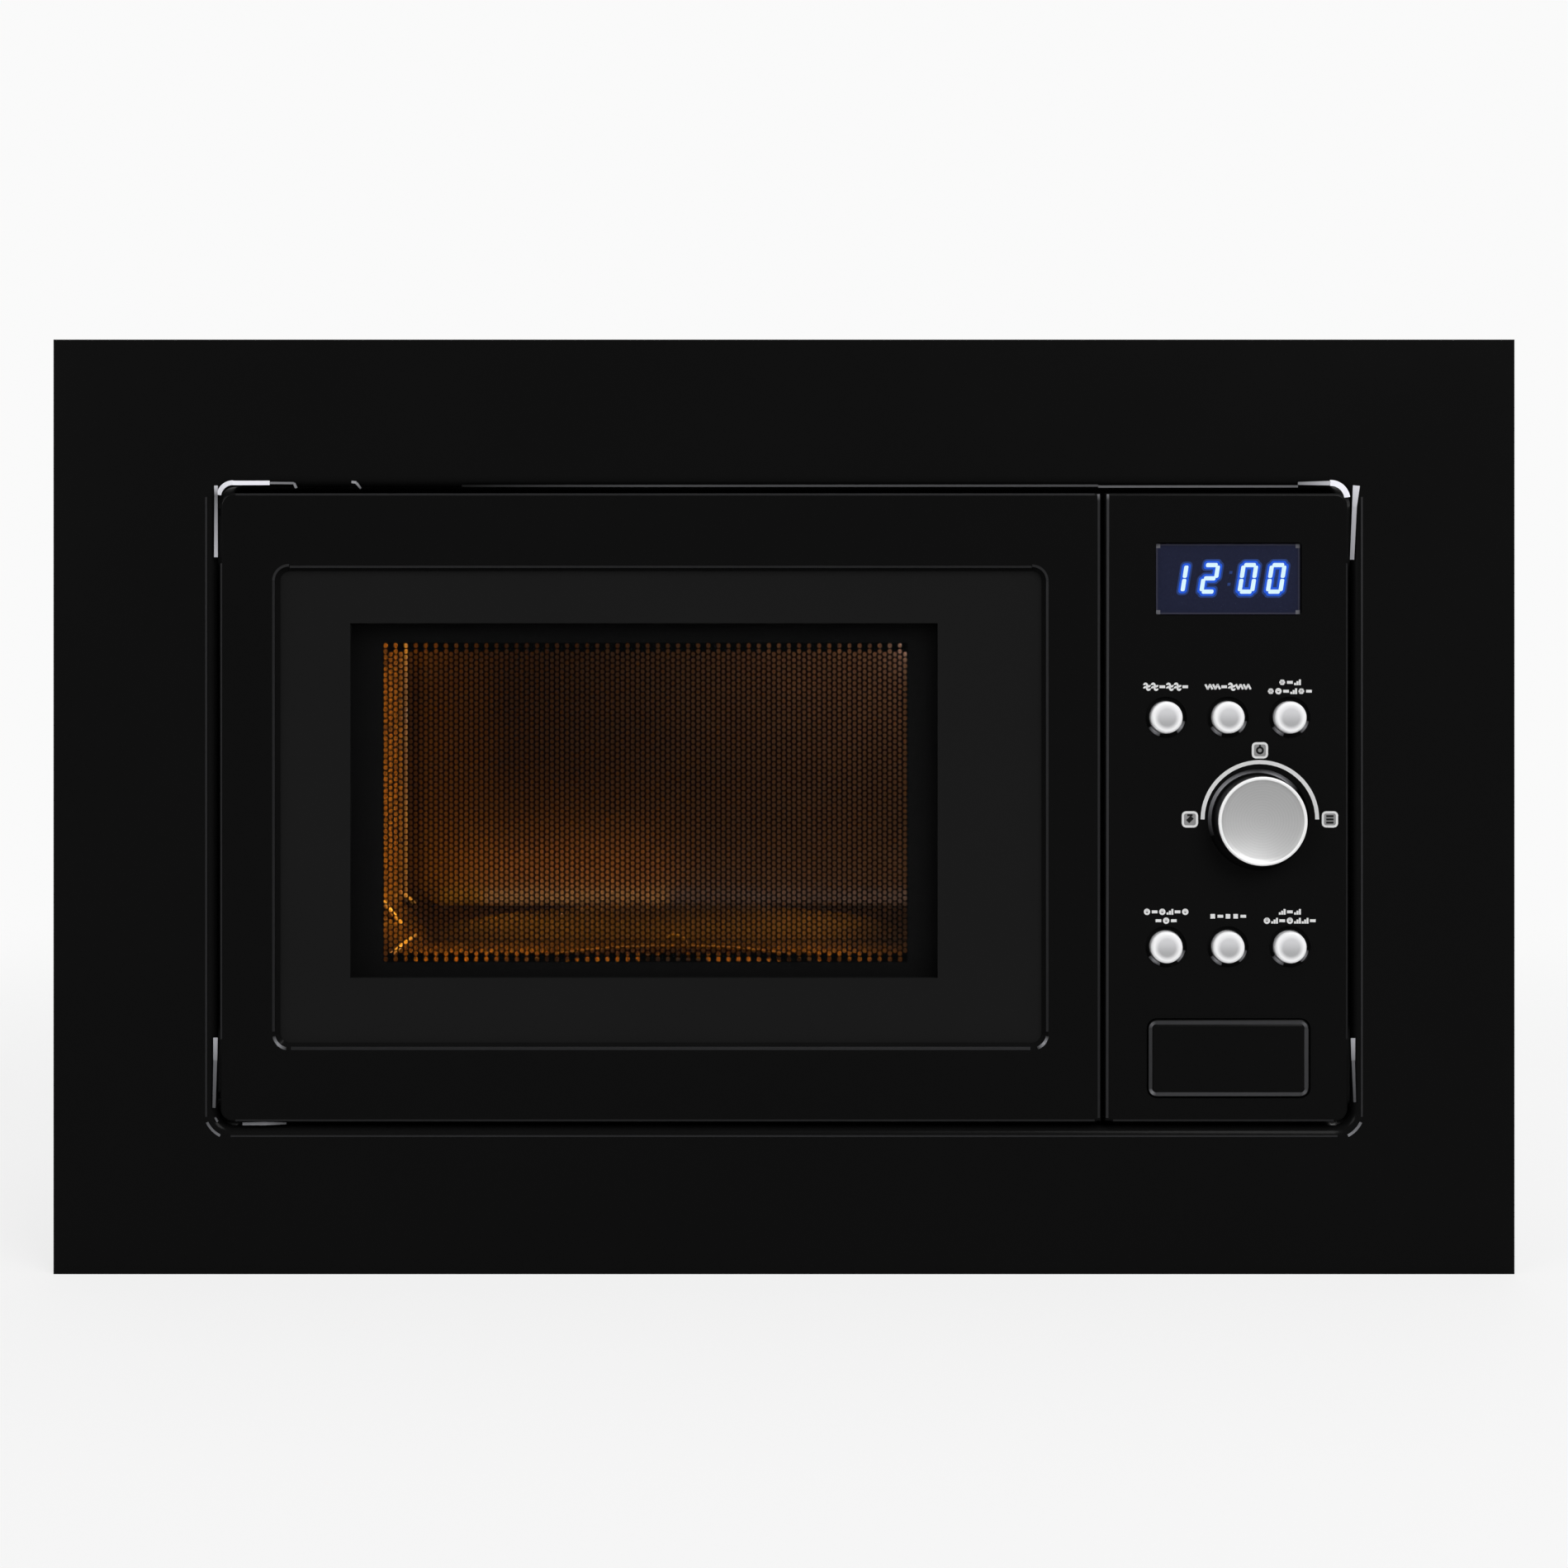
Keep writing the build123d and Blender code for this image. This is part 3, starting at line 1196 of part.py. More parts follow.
# Knob: a hollow cap with a dished face and a hub on the encoder shaft
with BuildPart() as knob:
    with BuildSketch(front_plane(knob_rear, knob_x, knob_z)):
        Circle(knob_d / 2)
    extrude(amount=knob_rear - knob_front)
    fillet(knob.faces().sort_by(Axis.Y)[0].edges(), radius=knob_edge_r)
    with BuildSketch(front_plane(knob_front + knob_dish, knob_x, knob_z)):
        Circle(knob_d / 2 - knob_rim)
    extrude(amount=knob_dish, taper=-knob_dish_slope, mode=Mode.SUBTRACT)
    with BuildSketch(front_plane(knob_rear, knob_x, knob_z)):
        Circle(knob_d / 2 - knob_wall)
        Circle(knob_hub_d / 2, mode=Mode.SUBTRACT)
    extrude(amount=knob_rear - knob_front - knob_front_t, mode=Mode.SUBTRACT)
    with BuildSketch(front_plane(knob_rear, knob_x, knob_z)):
        Circle(encoder_shaft_d / 2 + running_gap)
        with Locations((0, encoder_shaft_d - shaft_flat + running_gap)):
            Rectangle(encoder_shaft_d, encoder_shaft_d, mode=Mode.SUBTRACT)
    extrude(amount=knob_rear - knob_front - knob_front_t, mode=Mode.SUBTRACT)
save(knob.part, "knob")

# Turntable motor under the track recess
track_z = cavity_floor_z - track_depth
motor_top = track_z - case_sheet
coupler_z = track_z + rest_gap
with BuildPart() as turntable_motor:
    with BuildSketch(Plane.XY.offset(motor_top - motor_h)):
        with Locations((cavity_x, turntable_y)):
            Circle(motor_d / 2)
    extrude(amount=motor_h)
    fillet(turntable_motor.faces().sort_by(Axis.Z)[0].edges(), radius=motor_ear_t)
    with BuildSketch(Plane.XY.offset(motor_top - motor_ear_t)):
        with Locations((cavity_x, turntable_y)):
            SlotOverall(motor_ear_span, motor_ear_w)
            with GridLocations(motor_ear_span - motor_ear_w, 0, 2, 1):
                Circle(cabinet_hole_d / 2, mode=Mode.SUBTRACT)
    extrude(amount=motor_ear_t)
    with BuildSketch(Plane.XY.offset(coupler_z - coupler_shaft_l - rest_gap)):
        with Locations((cavity_x, turntable_y)):
            Circle(coupler_shaft_d / 2 + running_gap)
    extrude(amount=motor_top - coupler_z + coupler_shaft_l + rest_gap, mode=Mode.SUBTRACT)
save(turntable_motor.part, "turntable_motor")

# Turntable coupler: a three-lobed driver on a shaft down into the motor
roller_z = track_z + rest_gap + roller_d / 2
glass_bottom = roller_z + roller_d / 2 + rest_gap
with BuildPart() as turntable_coupler:
    with BuildSketch(Plane.XY.offset(coupler_z)):
        with Locations((cavity_x, turntable_y)):
            Circle(coupler_hub_d / 2)
            with PolarLocations(coupler_lobe_r / 2, roller_count):
                Rectangle(coupler_lobe_r, coupler_lobe_w)
    extrude(amount=glass_bottom - rest_gap - coupler_z)
    fillet(turntable_coupler.faces().sort_by(Axis.Z)[-1].edges(), radius=slot_gap)
    with BuildSketch(Plane.XY.offset(coupler_z)):
        with Locations((cavity_x, turntable_y)):
            Circle(coupler_shaft_d / 2)
    extrude(amount=-coupler_shaft_l)
save(turntable_coupler.part, "turntable_coupler")

# Roller ring with three radial pins, and a roller on each pin
roller_angles = [90 + number * 360 / roller_count for number in range(roller_count)]
roller_axes = [(cos(radians(angle)), sin(radians(angle)), 0) for angle in roller_angles]
turntable_centre = Vector(cavity_x, turntable_y, roller_z)
pin_head_r = roller_track_r + roller_w / 2 + slot_gap
with BuildPart() as roller_ring:
    with BuildSketch(Plane.XY.offset(roller_z - roller_ring_h / 2)):
        with Locations((cavity_x, turntable_y)):
            Circle(roller_ring_r + roller_ring_w / 2)
            Circle(roller_ring_r - roller_ring_w / 2, mode=Mode.SUBTRACT)
    extrude(amount=roller_ring_h)
    fillet(roller_ring.edges().filter_by(GeomType.CIRCLE), radius=slot_gap)
    for axis in roller_axes:
        outward = Vector(*axis)
        with BuildSketch(Plane(origin=turntable_centre + outward * roller_ring_r, z_dir=axis)):
            Circle(roller_pin_d / 2)
        extrude(amount=pin_head_r - roller_ring_r)
        with BuildSketch(Plane(origin=turntable_centre + outward * pin_head_r, z_dir=axis)):
            Circle(roller_pin_head_d / 2)
        extrude(amount=roller_pin_head_t)
save(roller_ring.part, "roller_ring")

for number, axis in enumerate(roller_axes, start=1):
    with BuildPart() as roller:
        inner_end = turntable_centre + Vector(*axis) * (roller_track_r - roller_w / 2)
        with BuildSketch(Plane(origin=inner_end, z_dir=axis)):
            Circle(roller_d / 2)
            Circle(roller_pin_d / 2 + running_gap, mode=Mode.SUBTRACT)
        extrude(amount=roller_w)
        outer_edges = roller.edges().filter_by(GeomType.CIRCLE).group_by(lambda edge: edge.radius)[-1]
        chamfer(outer_edges, length=slot_gap)
    save(roller.part, "roller_" + str(number))

# Glass turntable plate with three lugs below that drop between the coupler's lobes
with BuildPart() as glass_turntable:
    with BuildSketch(Plane(origin=(cavity_x, turntable_y, glass_bottom), x_dir=(1, 0, 0), z_dir=(0, -1, 0))):
        with BuildLine():
            Polyline(
                (0, 0),
                (turntable_flat_r, 0),
                (turntable_r, turntable_rim_rise),
                (turntable_r, turntable_rim_rise + turntable_t),
                (turntable_flat_r, turntable_t),
                (0, turntable_t),
                close=True,
            )
        make_face()
    revolve(axis=Axis((cavity_x, turntable_y, glass_bottom), (0, 0, 1)))
    rim_edges = glass_turntable.edges().filter_by(GeomType.CIRCLE).group_by(lambda edge: edge.radius)[-1]
    fillet(rim_edges, radius=turntable_t / 4)
    with BuildSketch(Plane.XY.offset(glass_bottom)):
        with Locations((cavity_x, turntable_y)):
            with PolarLocations(lug_r, roller_count, start_angle=180 / roller_count):
                Circle(lug_d / 2)
    extrude(amount=-lug_h)
save(glass_turntable.part, "glass_turntable")

# Grill element: a sheathed tube bent to a U under the ceiling, with collars outside the wall
element_z = cavity_top - element_drop
element_rear_y = element_front_y + 2 * element_bend_r
element_bend_x = cavity_left + element_side_gap + element_bend_r
wall_outer_x = cavity_right + case_sheet
element_end_x = wall_outer_x + element_tail
with BuildPart() as grill_element:
    with BuildLine() as element_path:
        Line((element_end_x, element_front_y, element_z), (element_bend_x, element_front_y, element_z))
        ThreePointArc(
            (element_bend_x, element_front_y, element_z),
            (element_bend_x - element_bend_r, element_front_y + element_bend_r, element_z),
            (element_bend_x, element_rear_y, element_z),
        )
        Line((element_bend_x, element_rear_y, element_z), (element_end_x, element_rear_y, element_z))
    with BuildSketch(side_plane(element_end_x, element_front_y, element_z)):
        Circle(element_d / 2)
    sweep(path=element_path.line)
    for element_y in (element_front_y, element_rear_y):
        with BuildSketch(side_plane(wall_outer_x, element_y, element_z)):
            Circle(element_collar_d / 2)
        extrude(amount=element_collar_t)
        with BuildSketch(side_plane(element_end_x, element_y, element_z)):
            Circle(element_terminal_d / 2)
        extrude(amount=element_terminal_l)
save(grill_element.part, "grill_element")

# Oven lamp and its bracket, outside the cavity's lamp holes
lamp_x = wall_outer_x + lamp_gap
with BuildPart() as oven_lamp:
    with BuildSketch(side_plane(lamp_x, lamp_y, lamp_z)):
        Circle(lamp_bulb_d / 2)
    extrude(amount=lamp_bulb_l)
    fillet(oven_lamp.faces().sort_by(Axis.X)[0].edges(), radius=lamp_bulb_d / 3)
    with BuildSketch(side_plane(lamp_x + lamp_bulb_l, lamp_y, lamp_z)):
        Circle(lamp_base_d / 2)
    extrude(amount=lamp_base_l)
save(oven_lamp.part, "oven_lamp")

with BuildPart() as lamp_bracket:
    grip_x = lamp_x + lamp_bulb_l + lamp_base_l / 2
    with BuildSketch(Plane.XY.offset(lamp_z - lamp_bracket_w / 2)):
        with Locations((grip_x + lamp_bracket_t / 2, lamp_y)):
            Rectangle(lamp_bracket_t, 2 * lamp_bracket_reach)
        with Locations(((wall_outer_x + grip_x) / 2, lamp_y + lamp_bracket_reach - lamp_bracket_t / 2)):
            Rectangle(grip_x - wall_outer_x, lamp_bracket_t)
        with Locations((wall_outer_x + lamp_bracket_t / 2, lamp_y + lamp_bracket_reach + lamp_foot / 2)):
            Rectangle(lamp_bracket_t, lamp_foot)
    extrude(amount=lamp_bracket_w)
    with BuildSketch(side_plane(grip_x, lamp_y, lamp_z)):
        Circle(lamp_base_d / 2 + rest_gap)
    extrude(amount=lamp_bracket_t, mode=Mode.SUBTRACT)
save(lamp_bracket.part, "lamp_bracket")

# Waveguide cover: a mica sheet inside the cavity, over the wave port
with BuildPart() as waveguide_cover:
    with BuildSketch(side_plane(cavity_right - mica_t, port_y, port_z)):
        RectangleRounded(port_l + 2 * mica_lap, port_h + 2 * mica_lap, mica_lap / 2)
    extrude(amount=mica_t)
save(waveguide_cover.part, "waveguide_cover")

# Waveguide: a folded duct from the magnetron's antenna to the port
guide_end_x = wall_outer_x + guide_depth
with BuildPart() as waveguide:
    with BuildSketch(side_plane(wall_outer_x, port_y, port_z)):
        Rectangle(guide_l, guide_h)
    extrude(amount=guide_depth)
    with BuildSketch(side_plane(wall_outer_x, port_y, port_z)):
        Rectangle(guide_l, guide_h + 2 * guide_flange)
    extrude(amount=guide_sheet)
    with BuildSketch(side_plane(wall_outer_x, port_y, port_z)):
        Rectangle(guide_l - 2 * guide_sheet, guide_h - 2 * guide_sheet)
    extrude(amount=guide_depth - guide_sheet, mode=Mode.SUBTRACT)
    with BuildSketch(side_plane(guide_end_x, magnetron_y, port_z)):
        Circle(antenna_d / 2 + slot_gap)
    extrude(amount=-guide_sheet, mode=Mode.SUBTRACT)
save(waveguide.part, "waveguide")

# Magnetron: an open yoke round a finned anode, with the antenna in the guide and a filter box
with BuildPart() as magnetron:
    magnetron_end_x = guide_end_x + magnetron_h
    with BuildSketch(side_plane(guide_end_x, magnetron_y, port_z)):
        Rectangle(magnetron_w, magnetron_l)
    extrude(amount=magnetron_h)
    with BuildSketch(side_plane(guide_end_x + magnetron_yoke, magnetron_y, port_z)):
        Rectangle(magnetron_w, magnetron_l - 2 * magnetron_yoke)
    extrude(amount=magnetron_h - 2 * magnetron_yoke, mode=Mode.SUBTRACT)
    with BuildSketch(side_plane(guide_end_x, magnetron_y, port_z)):
        Circle(anode_d / 2)
    extrude(amount=magnetron_h)
    fin_pitch = (magnetron_h - 2 * magnetron_yoke) / (magnetron_fins + 1)
    for fin in range(magnetron_fins):
        fin_x = guide_end_x + magnetron_yoke + (fin + 1) * fin_pitch - magnetron_fin_t / 2
        with BuildSketch(side_plane(fin_x, magnetron_y, port_z)):
            Rectangle(magnetron_w - 2 * magnetron_yoke, magnetron_l - 2 * magnetron_yoke)
        extrude(amount=magnetron_fin_t)
    with BuildSketch(side_plane(guide_end_x, magnetron_y, port_z)):
        Circle(antenna_d / 2)
    extrude(amount=-antenna_l)
    with BuildSketch(side_plane(magnetron_end_x, magnetron_y, port_z)):
        RectangleRounded(filter_box, filter_box, magnetron_yoke)
    extrude(amount=filter_box_h)
save(magnetron.part, "magnetron")

# High-voltage transformer on the base plate
base_top = case_bottom + case_sheet
with BuildPart() as transformer:
    core_z = base_top + transformer_foot_t
    with BuildSketch(Plane.XY.offset(base_top)):
        with Locations((transformer_x, transformer_y)):
            Rectangle(transformer_w + 2 * transformer_foot, transformer_l)
    extrude(amount=transformer_foot_t)
    with BuildSketch(Plane.XY.offset(core_z)):
        with Locations((transformer_x, transformer_y)):
            Rectangle(transformer_w, transformer_l)
    extrude(amount=transformer_h)
    for winding in (-1, 1):
        winding_z = core_z + transformer_h / 2 + winding * coil_spacing / 2
        with BuildSketch(Plane.XY.offset(winding_z - coil_h / 2)):
            with Locations((transformer_x, transformer_y)):
                RectangleRounded(
                    transformer_w - 2 * coil_overhang, transformer_l + 2 * coil_overhang, coil_overhang
                )
        extrude(amount=coil_h)
save(transformer.part, "transformer")

# High-voltage capacitor: an oval can with two tabs
with BuildPart() as capacitor:
    with BuildSketch(Plane.XY.offset(base_top)):
        with Locations((capacitor_x, capacitor_y)):
            SlotOverall(capacitor_w, capacitor_l)
    extrude(amount=capacitor_h)
    fillet(capacitor.faces().sort_by(Axis.Z)[-1].edges(), radius=capacitor_tab_t)
    with BuildSketch(Plane.XY.offset(base_top + capacitor_h)):
        with Locations((capacitor_x, capacitor_y)):
            with GridLocations(capacitor_w / 2, 0, 2, 1):
                Rectangle(capacitor_tab_t, capacitor_tab_w)
    extrude(amount=capacitor_tab_h)
save(capacitor.part, "capacitor")

# Mains filter board on posts
with BuildPart() as filter_board:
    filter_z = base_top + filter_post_h
    with BuildSketch(Plane.XY.offset(filter_z)):
        with Locations((filter_x, filter_y)):
            Rectangle(filter_w, filter_depth)
    extrude(amount=board_t)
    with BuildSketch(Plane.XY.offset(base_top)):
        with Locations((filter_x, filter_y)):
            with GridLocations(filter_w - 2 * board_post_d, filter_depth - 2 * board_post_d, 2, 2):
                Circle(board_post_d / 2)
    extrude(amount=filter_post_h)
    with BuildSketch(Plane.XY.offset(filter_z + board_t)):
        with Locations((filter_x - filter_w / 4, filter_y)):
            Circle(filter_coil_d / 2)
            Circle(filter_coil_d / 4, mode=Mode.SUBTRACT)
    extrude(amount=filter_coil_h)
    with BuildSketch(Plane.XY.offset(filter_z + board_t)):
        with Locations((filter_x + filter_w / 5, filter_y)):
            with GridLocations(0, filter_depth / 2, 1, 2):
                Rectangle(relay_w, relay_l)
    extrude(amount=relay_h)
save(filter_board.part, "filter_board")

# Thermal cut-outs: one on the cavity wall, one on top of the magnetron
with BuildPart() as thermal_cutouts:
    with BuildSketch(side_plane(wall_outer_x, cutout_y, cutout_z)):
        Circle(cutout_d / 2)
    extrude(amount=cutout_h)
    with BuildSketch(Plane.XY.offset(port_z + magnetron_l / 2)):
        with Locations((guide_end_x + magnetron_h / 2, magnetron_y)):
            Circle(cutout_d / 2)
    extrude(amount=cutout_h)
save(thermal_cutouts.part, "thermal_cutouts")

# Fan shroud across the rear of the compartment, with posts for the motor
fan_rear_y = fan_y + fan_l
strap_y = fan_rear_y + fan_motor_gap
ring_r = fan_d / 2 + fan_tip_gap
strap_half = ring_r + shroud_t + fan_tip_gap + fan_arm_w / 2
with BuildPart() as fan_shroud:
    with BuildSketch(front_plane(fan_y + shroud_t, fan_x, fan_z)):
        Rectangle(case_in_w / 2 - wall_outer_x, shroud_h)
    extrude(amount=shroud_t)
    with BuildSketch(front_plane(fan_rear_y, fan_x, fan_z)):
        Circle(ring_r + shroud_t)
    extrude(amount=fan_l)
    with BuildSketch(front_plane(strap_y, fan_x, fan_z)):
        with GridLocations(2 * strap_half, 0, 2, 1):
            Circle(fan_arm_w / 2)
    extrude(amount=strap_y - fan_y)
    with BuildSketch(front_plane(fan_rear_y, fan_x, fan_z)):
        Circle(ring_r)
    extrude(amount=fan_l, mode=Mode.SUBTRACT)
save(fan_shroud.part, "fan_shroud")

# Fan motor on a strap across the posts
with BuildPart() as fan_motor:
    with BuildSketch(front_plane(strap_y + fan_strap_t, fan_x, fan_z)):
        SlotOverall(2 * strap_half + fan_arm_w, fan_arm_w)
    extrude(amount=fan_strap_t)
    with BuildSketch(front_plane(strap_y + fan_motor_l, fan_x, fan_z)):
        RectangleRounded(fan_motor_w, fan_motor_h, fan_strap_t)
    extrude(amount=fan_motor_l)
    with BuildSketch(front_plane(strap_y + fan_shaft_seat + rest_gap, fan_x, fan_z)):
        Circle(fan_shaft_d / 2 + running_gap)
    extrude(amount=fan_shaft_seat + rest_gap, mode=Mode.SUBTRACT)
save(fan_motor.part, "fan_motor")

# Fan impeller: pitched blades on a hub, with its shaft into the motor
with BuildPart() as fan_impeller:
    hub_front_y = fan_y + fan_tip_gap
    hub_rear_y = fan_rear_y - fan_tip_gap / 2
    fan_mid_y = (hub_front_y + hub_rear_y) / 2
    for blade in range(fan_blades):
        turn = radians(360 * blade / fan_blades)
        radial = Vector(cos(turn), 0, sin(turn))
        root = Vector(fan_x, fan_mid_y, fan_z) + radial * fan_hub_d / 3
        with BuildSketch(Plane(origin=root, x_dir=(0, 1, 0), z_dir=radial)):
            Rectangle(fan_blade_w, fan_blade_t, rotation=90 - fan_blade_pitch)
        extrude(amount=fan_d / 2)
    with BuildSketch(front_plane(fan_rear_y, fan_x, fan_z)):
        Circle(fan_d / 2)
    extrude(amount=fan_l, mode=Mode.INTERSECT)
    with BuildSketch(front_plane(hub_rear_y, fan_x, fan_z)):
        Circle(fan_hub_d / 2)
    extrude(amount=hub_rear_y - hub_front_y)
    with BuildSketch(front_plane(strap_y + fan_shaft_seat, fan_x, fan_z)):
        Circle(fan_shaft_d / 2)
    extrude(amount=strap_y + fan_shaft_seat - hub_rear_y)
save(fan_impeller.part, "fan_impeller")
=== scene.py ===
import logging
from dataclasses import dataclass, field
from enum import Enum
from math import atan2, cos, degrees, hypot, pi, radians, sin, tan
from typing import Any

import bmesh
import bpy
from mathutils import Matrix, Vector


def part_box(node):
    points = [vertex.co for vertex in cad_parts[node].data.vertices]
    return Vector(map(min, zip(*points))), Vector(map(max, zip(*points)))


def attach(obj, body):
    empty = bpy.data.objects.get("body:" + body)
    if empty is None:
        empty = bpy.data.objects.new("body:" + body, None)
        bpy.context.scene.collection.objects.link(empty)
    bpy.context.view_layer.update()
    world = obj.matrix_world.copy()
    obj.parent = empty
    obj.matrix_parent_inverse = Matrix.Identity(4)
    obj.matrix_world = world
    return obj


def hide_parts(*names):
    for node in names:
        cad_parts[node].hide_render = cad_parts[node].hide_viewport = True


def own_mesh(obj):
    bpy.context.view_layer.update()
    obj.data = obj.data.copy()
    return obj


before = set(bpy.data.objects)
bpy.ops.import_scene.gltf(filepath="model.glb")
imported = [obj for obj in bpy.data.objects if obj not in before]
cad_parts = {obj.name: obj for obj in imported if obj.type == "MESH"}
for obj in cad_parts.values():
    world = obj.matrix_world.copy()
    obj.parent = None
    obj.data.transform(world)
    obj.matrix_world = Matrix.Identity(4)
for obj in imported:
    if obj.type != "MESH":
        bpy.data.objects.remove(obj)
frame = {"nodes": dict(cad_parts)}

LOG = logging.getLogger("microwave")
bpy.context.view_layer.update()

# How far out a surface still belongs to the face beside it.
SKIN = 0.0002
# Size of a printed mark, its line, and the line in shares of the mark.
MARK = 0.0023
THIN = 0.00082
FINE = THIN / MARK

Colour = tuple[float, float, float]
Point = tuple[float, float, float]
Spot = tuple[float, float]
Pair = tuple[float, float]


def grey(level: float) -> Colour:
    """Return a neutral linear colour of one level."""
    return (level, level, level)


def times(colour: Colour, factor: float) -> Colour:
    """Return a colour scaled by a factor and held below white."""
    return tuple(min(1.0, channel * factor) for channel in colour)


def between(ends: Pair, share: float) -> float:
    """Return the value at a share of the way from the first end to the second."""
    return ends[0] + (ends[1] - ends[0]) * share


def middle_of(node: str) -> Point:
    """Return the middle of a CAD node's box."""
    low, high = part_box(node)
    return tuple((a + b) / 2 for a, b in zip(low, high))


def joined(operation: str, swapped: bool = False) -> Any:
    """Make a Socket operator that adds one Math node.

    Args:
        operation: The Math node's operation.
        swapped: Whether the socket comes second, as in a reflected form.

    Returns:
        The method.
    """

    def method(self: "Socket", other: Any) -> "Socket":
        """Join the socket and the other value in one node."""
        return self.math(operation, *((other, self) if swapped else (self, other)))

    return method


class Socket:
    """A shader socket that takes part in Python expressions."""

    def __init__(self, nodes: "Nodes", link: Any) -> None:
        """Wrap one output socket.

        Args:
            nodes: The node tree that the socket belongs to.
            link: Blender's own output socket.
        """
        self.nodes = nodes
        self.link = link

    def math(self, operation: str, *values: Any) -> "Socket":
        """Add one Math node.

        Args:
            operation: The Math node's operation.
            values: Its inputs, sockets or numbers, in order.

        Returns:
            The node's value.
        """
        return self.nodes.out("ShaderNodeMath", 0, {"operation": operation}, dict(enumerate(values)))

    __add__ = joined("ADD")
    __radd__ = joined("ADD", swapped=True)
    __sub__ = joined("SUBTRACT")
    __rsub__ = joined("SUBTRACT", swapped=True)
    __mul__ = joined("MULTIPLY")
    __rmul__ = joined("MULTIPLY", swapped=True)
    __pow__ = joined("POWER")
    __rpow__ = joined("POWER", swapped=True)
    above = joined("GREATER_THAN")
    most = joined("MAXIMUM")

    def __abs__(self) -> "Socket":
        """Return the absolute value."""
        return self.math("ABSOLUTE", self)

    def wave(self, pitch: float) -> "Socket":
        """Return a sine wave, 0 to 1, with the given pitch in the value's own unit."""
        return self.math("SINE", self * (2 * pi / pitch)) * 0.5 + 0.5

    def ramp(self, low: float, high: float, to_low: float = 0.0, to_high: float = 1.0) -> "Socket":
        """Map a range smoothly to another, held at its ends.

        Args:
            low: Value that gives to_low.
            high: Value that gives to_high.
            to_low: Result at low.
            to_high: Result at high.

        Returns:
            The mapped value.
        """
        sockets = dict(enumerate((self, low, high, to_low, to_high)))
        return self.nodes.out("ShaderNodeMapRange", 0, {"interpolation_type": "SMOOTHSTEP"}, sockets)


class Nodes:
    """A node tree, and the one method that adds nodes to it."""

    def __init__(self, tree: Any) -> None:
        """Empty a node tree.

        Args:
            tree: Blender's node tree.
        """
        self.tree = tree
        self.tree.nodes.clear()

    def node(self, kind: str, settings: dict | None = None, inputs: dict | None = None) -> Any:
        """Add a node, set it up, then fill or link its sockets.

        Args:
            kind: The node's type.
            settings: Properties to set first.
            inputs: Values or sockets by input name or number.

        Returns:
            The new node.
        """
        made = self.tree.nodes.new(kind)
        for key, value in (settings or {}).items():
            setattr(made, key, value)
        for key, value in (inputs or {}).items():
            self.fill(made.inputs[key], value)
        return made

    def out(
        self, kind: str, output: str | int = 0, settings: dict | None = None, inputs: dict | None = None
    ) -> Socket:
        """Add a node and return one of its outputs.

        Args:
            kind: The node's type.
            output: The output's name or number.
            settings: Properties to set first.
            inputs: Values or sockets by input name or number.

        Returns:
            The output.
        """
        return Socket(self, self.node(kind, settings, inputs).outputs[output])

    def fill(self, socket: Any, value: Any) -> None:
        """Link a socket, or set its value.

        Args:
            socket: The input socket.
            value: A Socket, a number, a colour or a vector.
        """
        if isinstance(value, Socket):
            self.tree.links.new(value.link, socket)
        elif socket.type == "RGBA" and not isinstance(value, (int, float)):
            socket.default_value = (*value[:3], 1.0)
        else:
            socket.default_value = value

    def blend(self, factor: Any, first: Any, second: Any) -> Socket:
        """Mix two colours.

        Args:
            factor: 0 gives the first colour, 1 the second.
            first: A colour or a socket.
            second: A colour or a socket.

        Returns:
            The mixed colour.
        """
        return self.out("ShaderNodeMix", 2, {"data_type": "RGBA"}, {"Factor": factor, 6: first, 7: second})


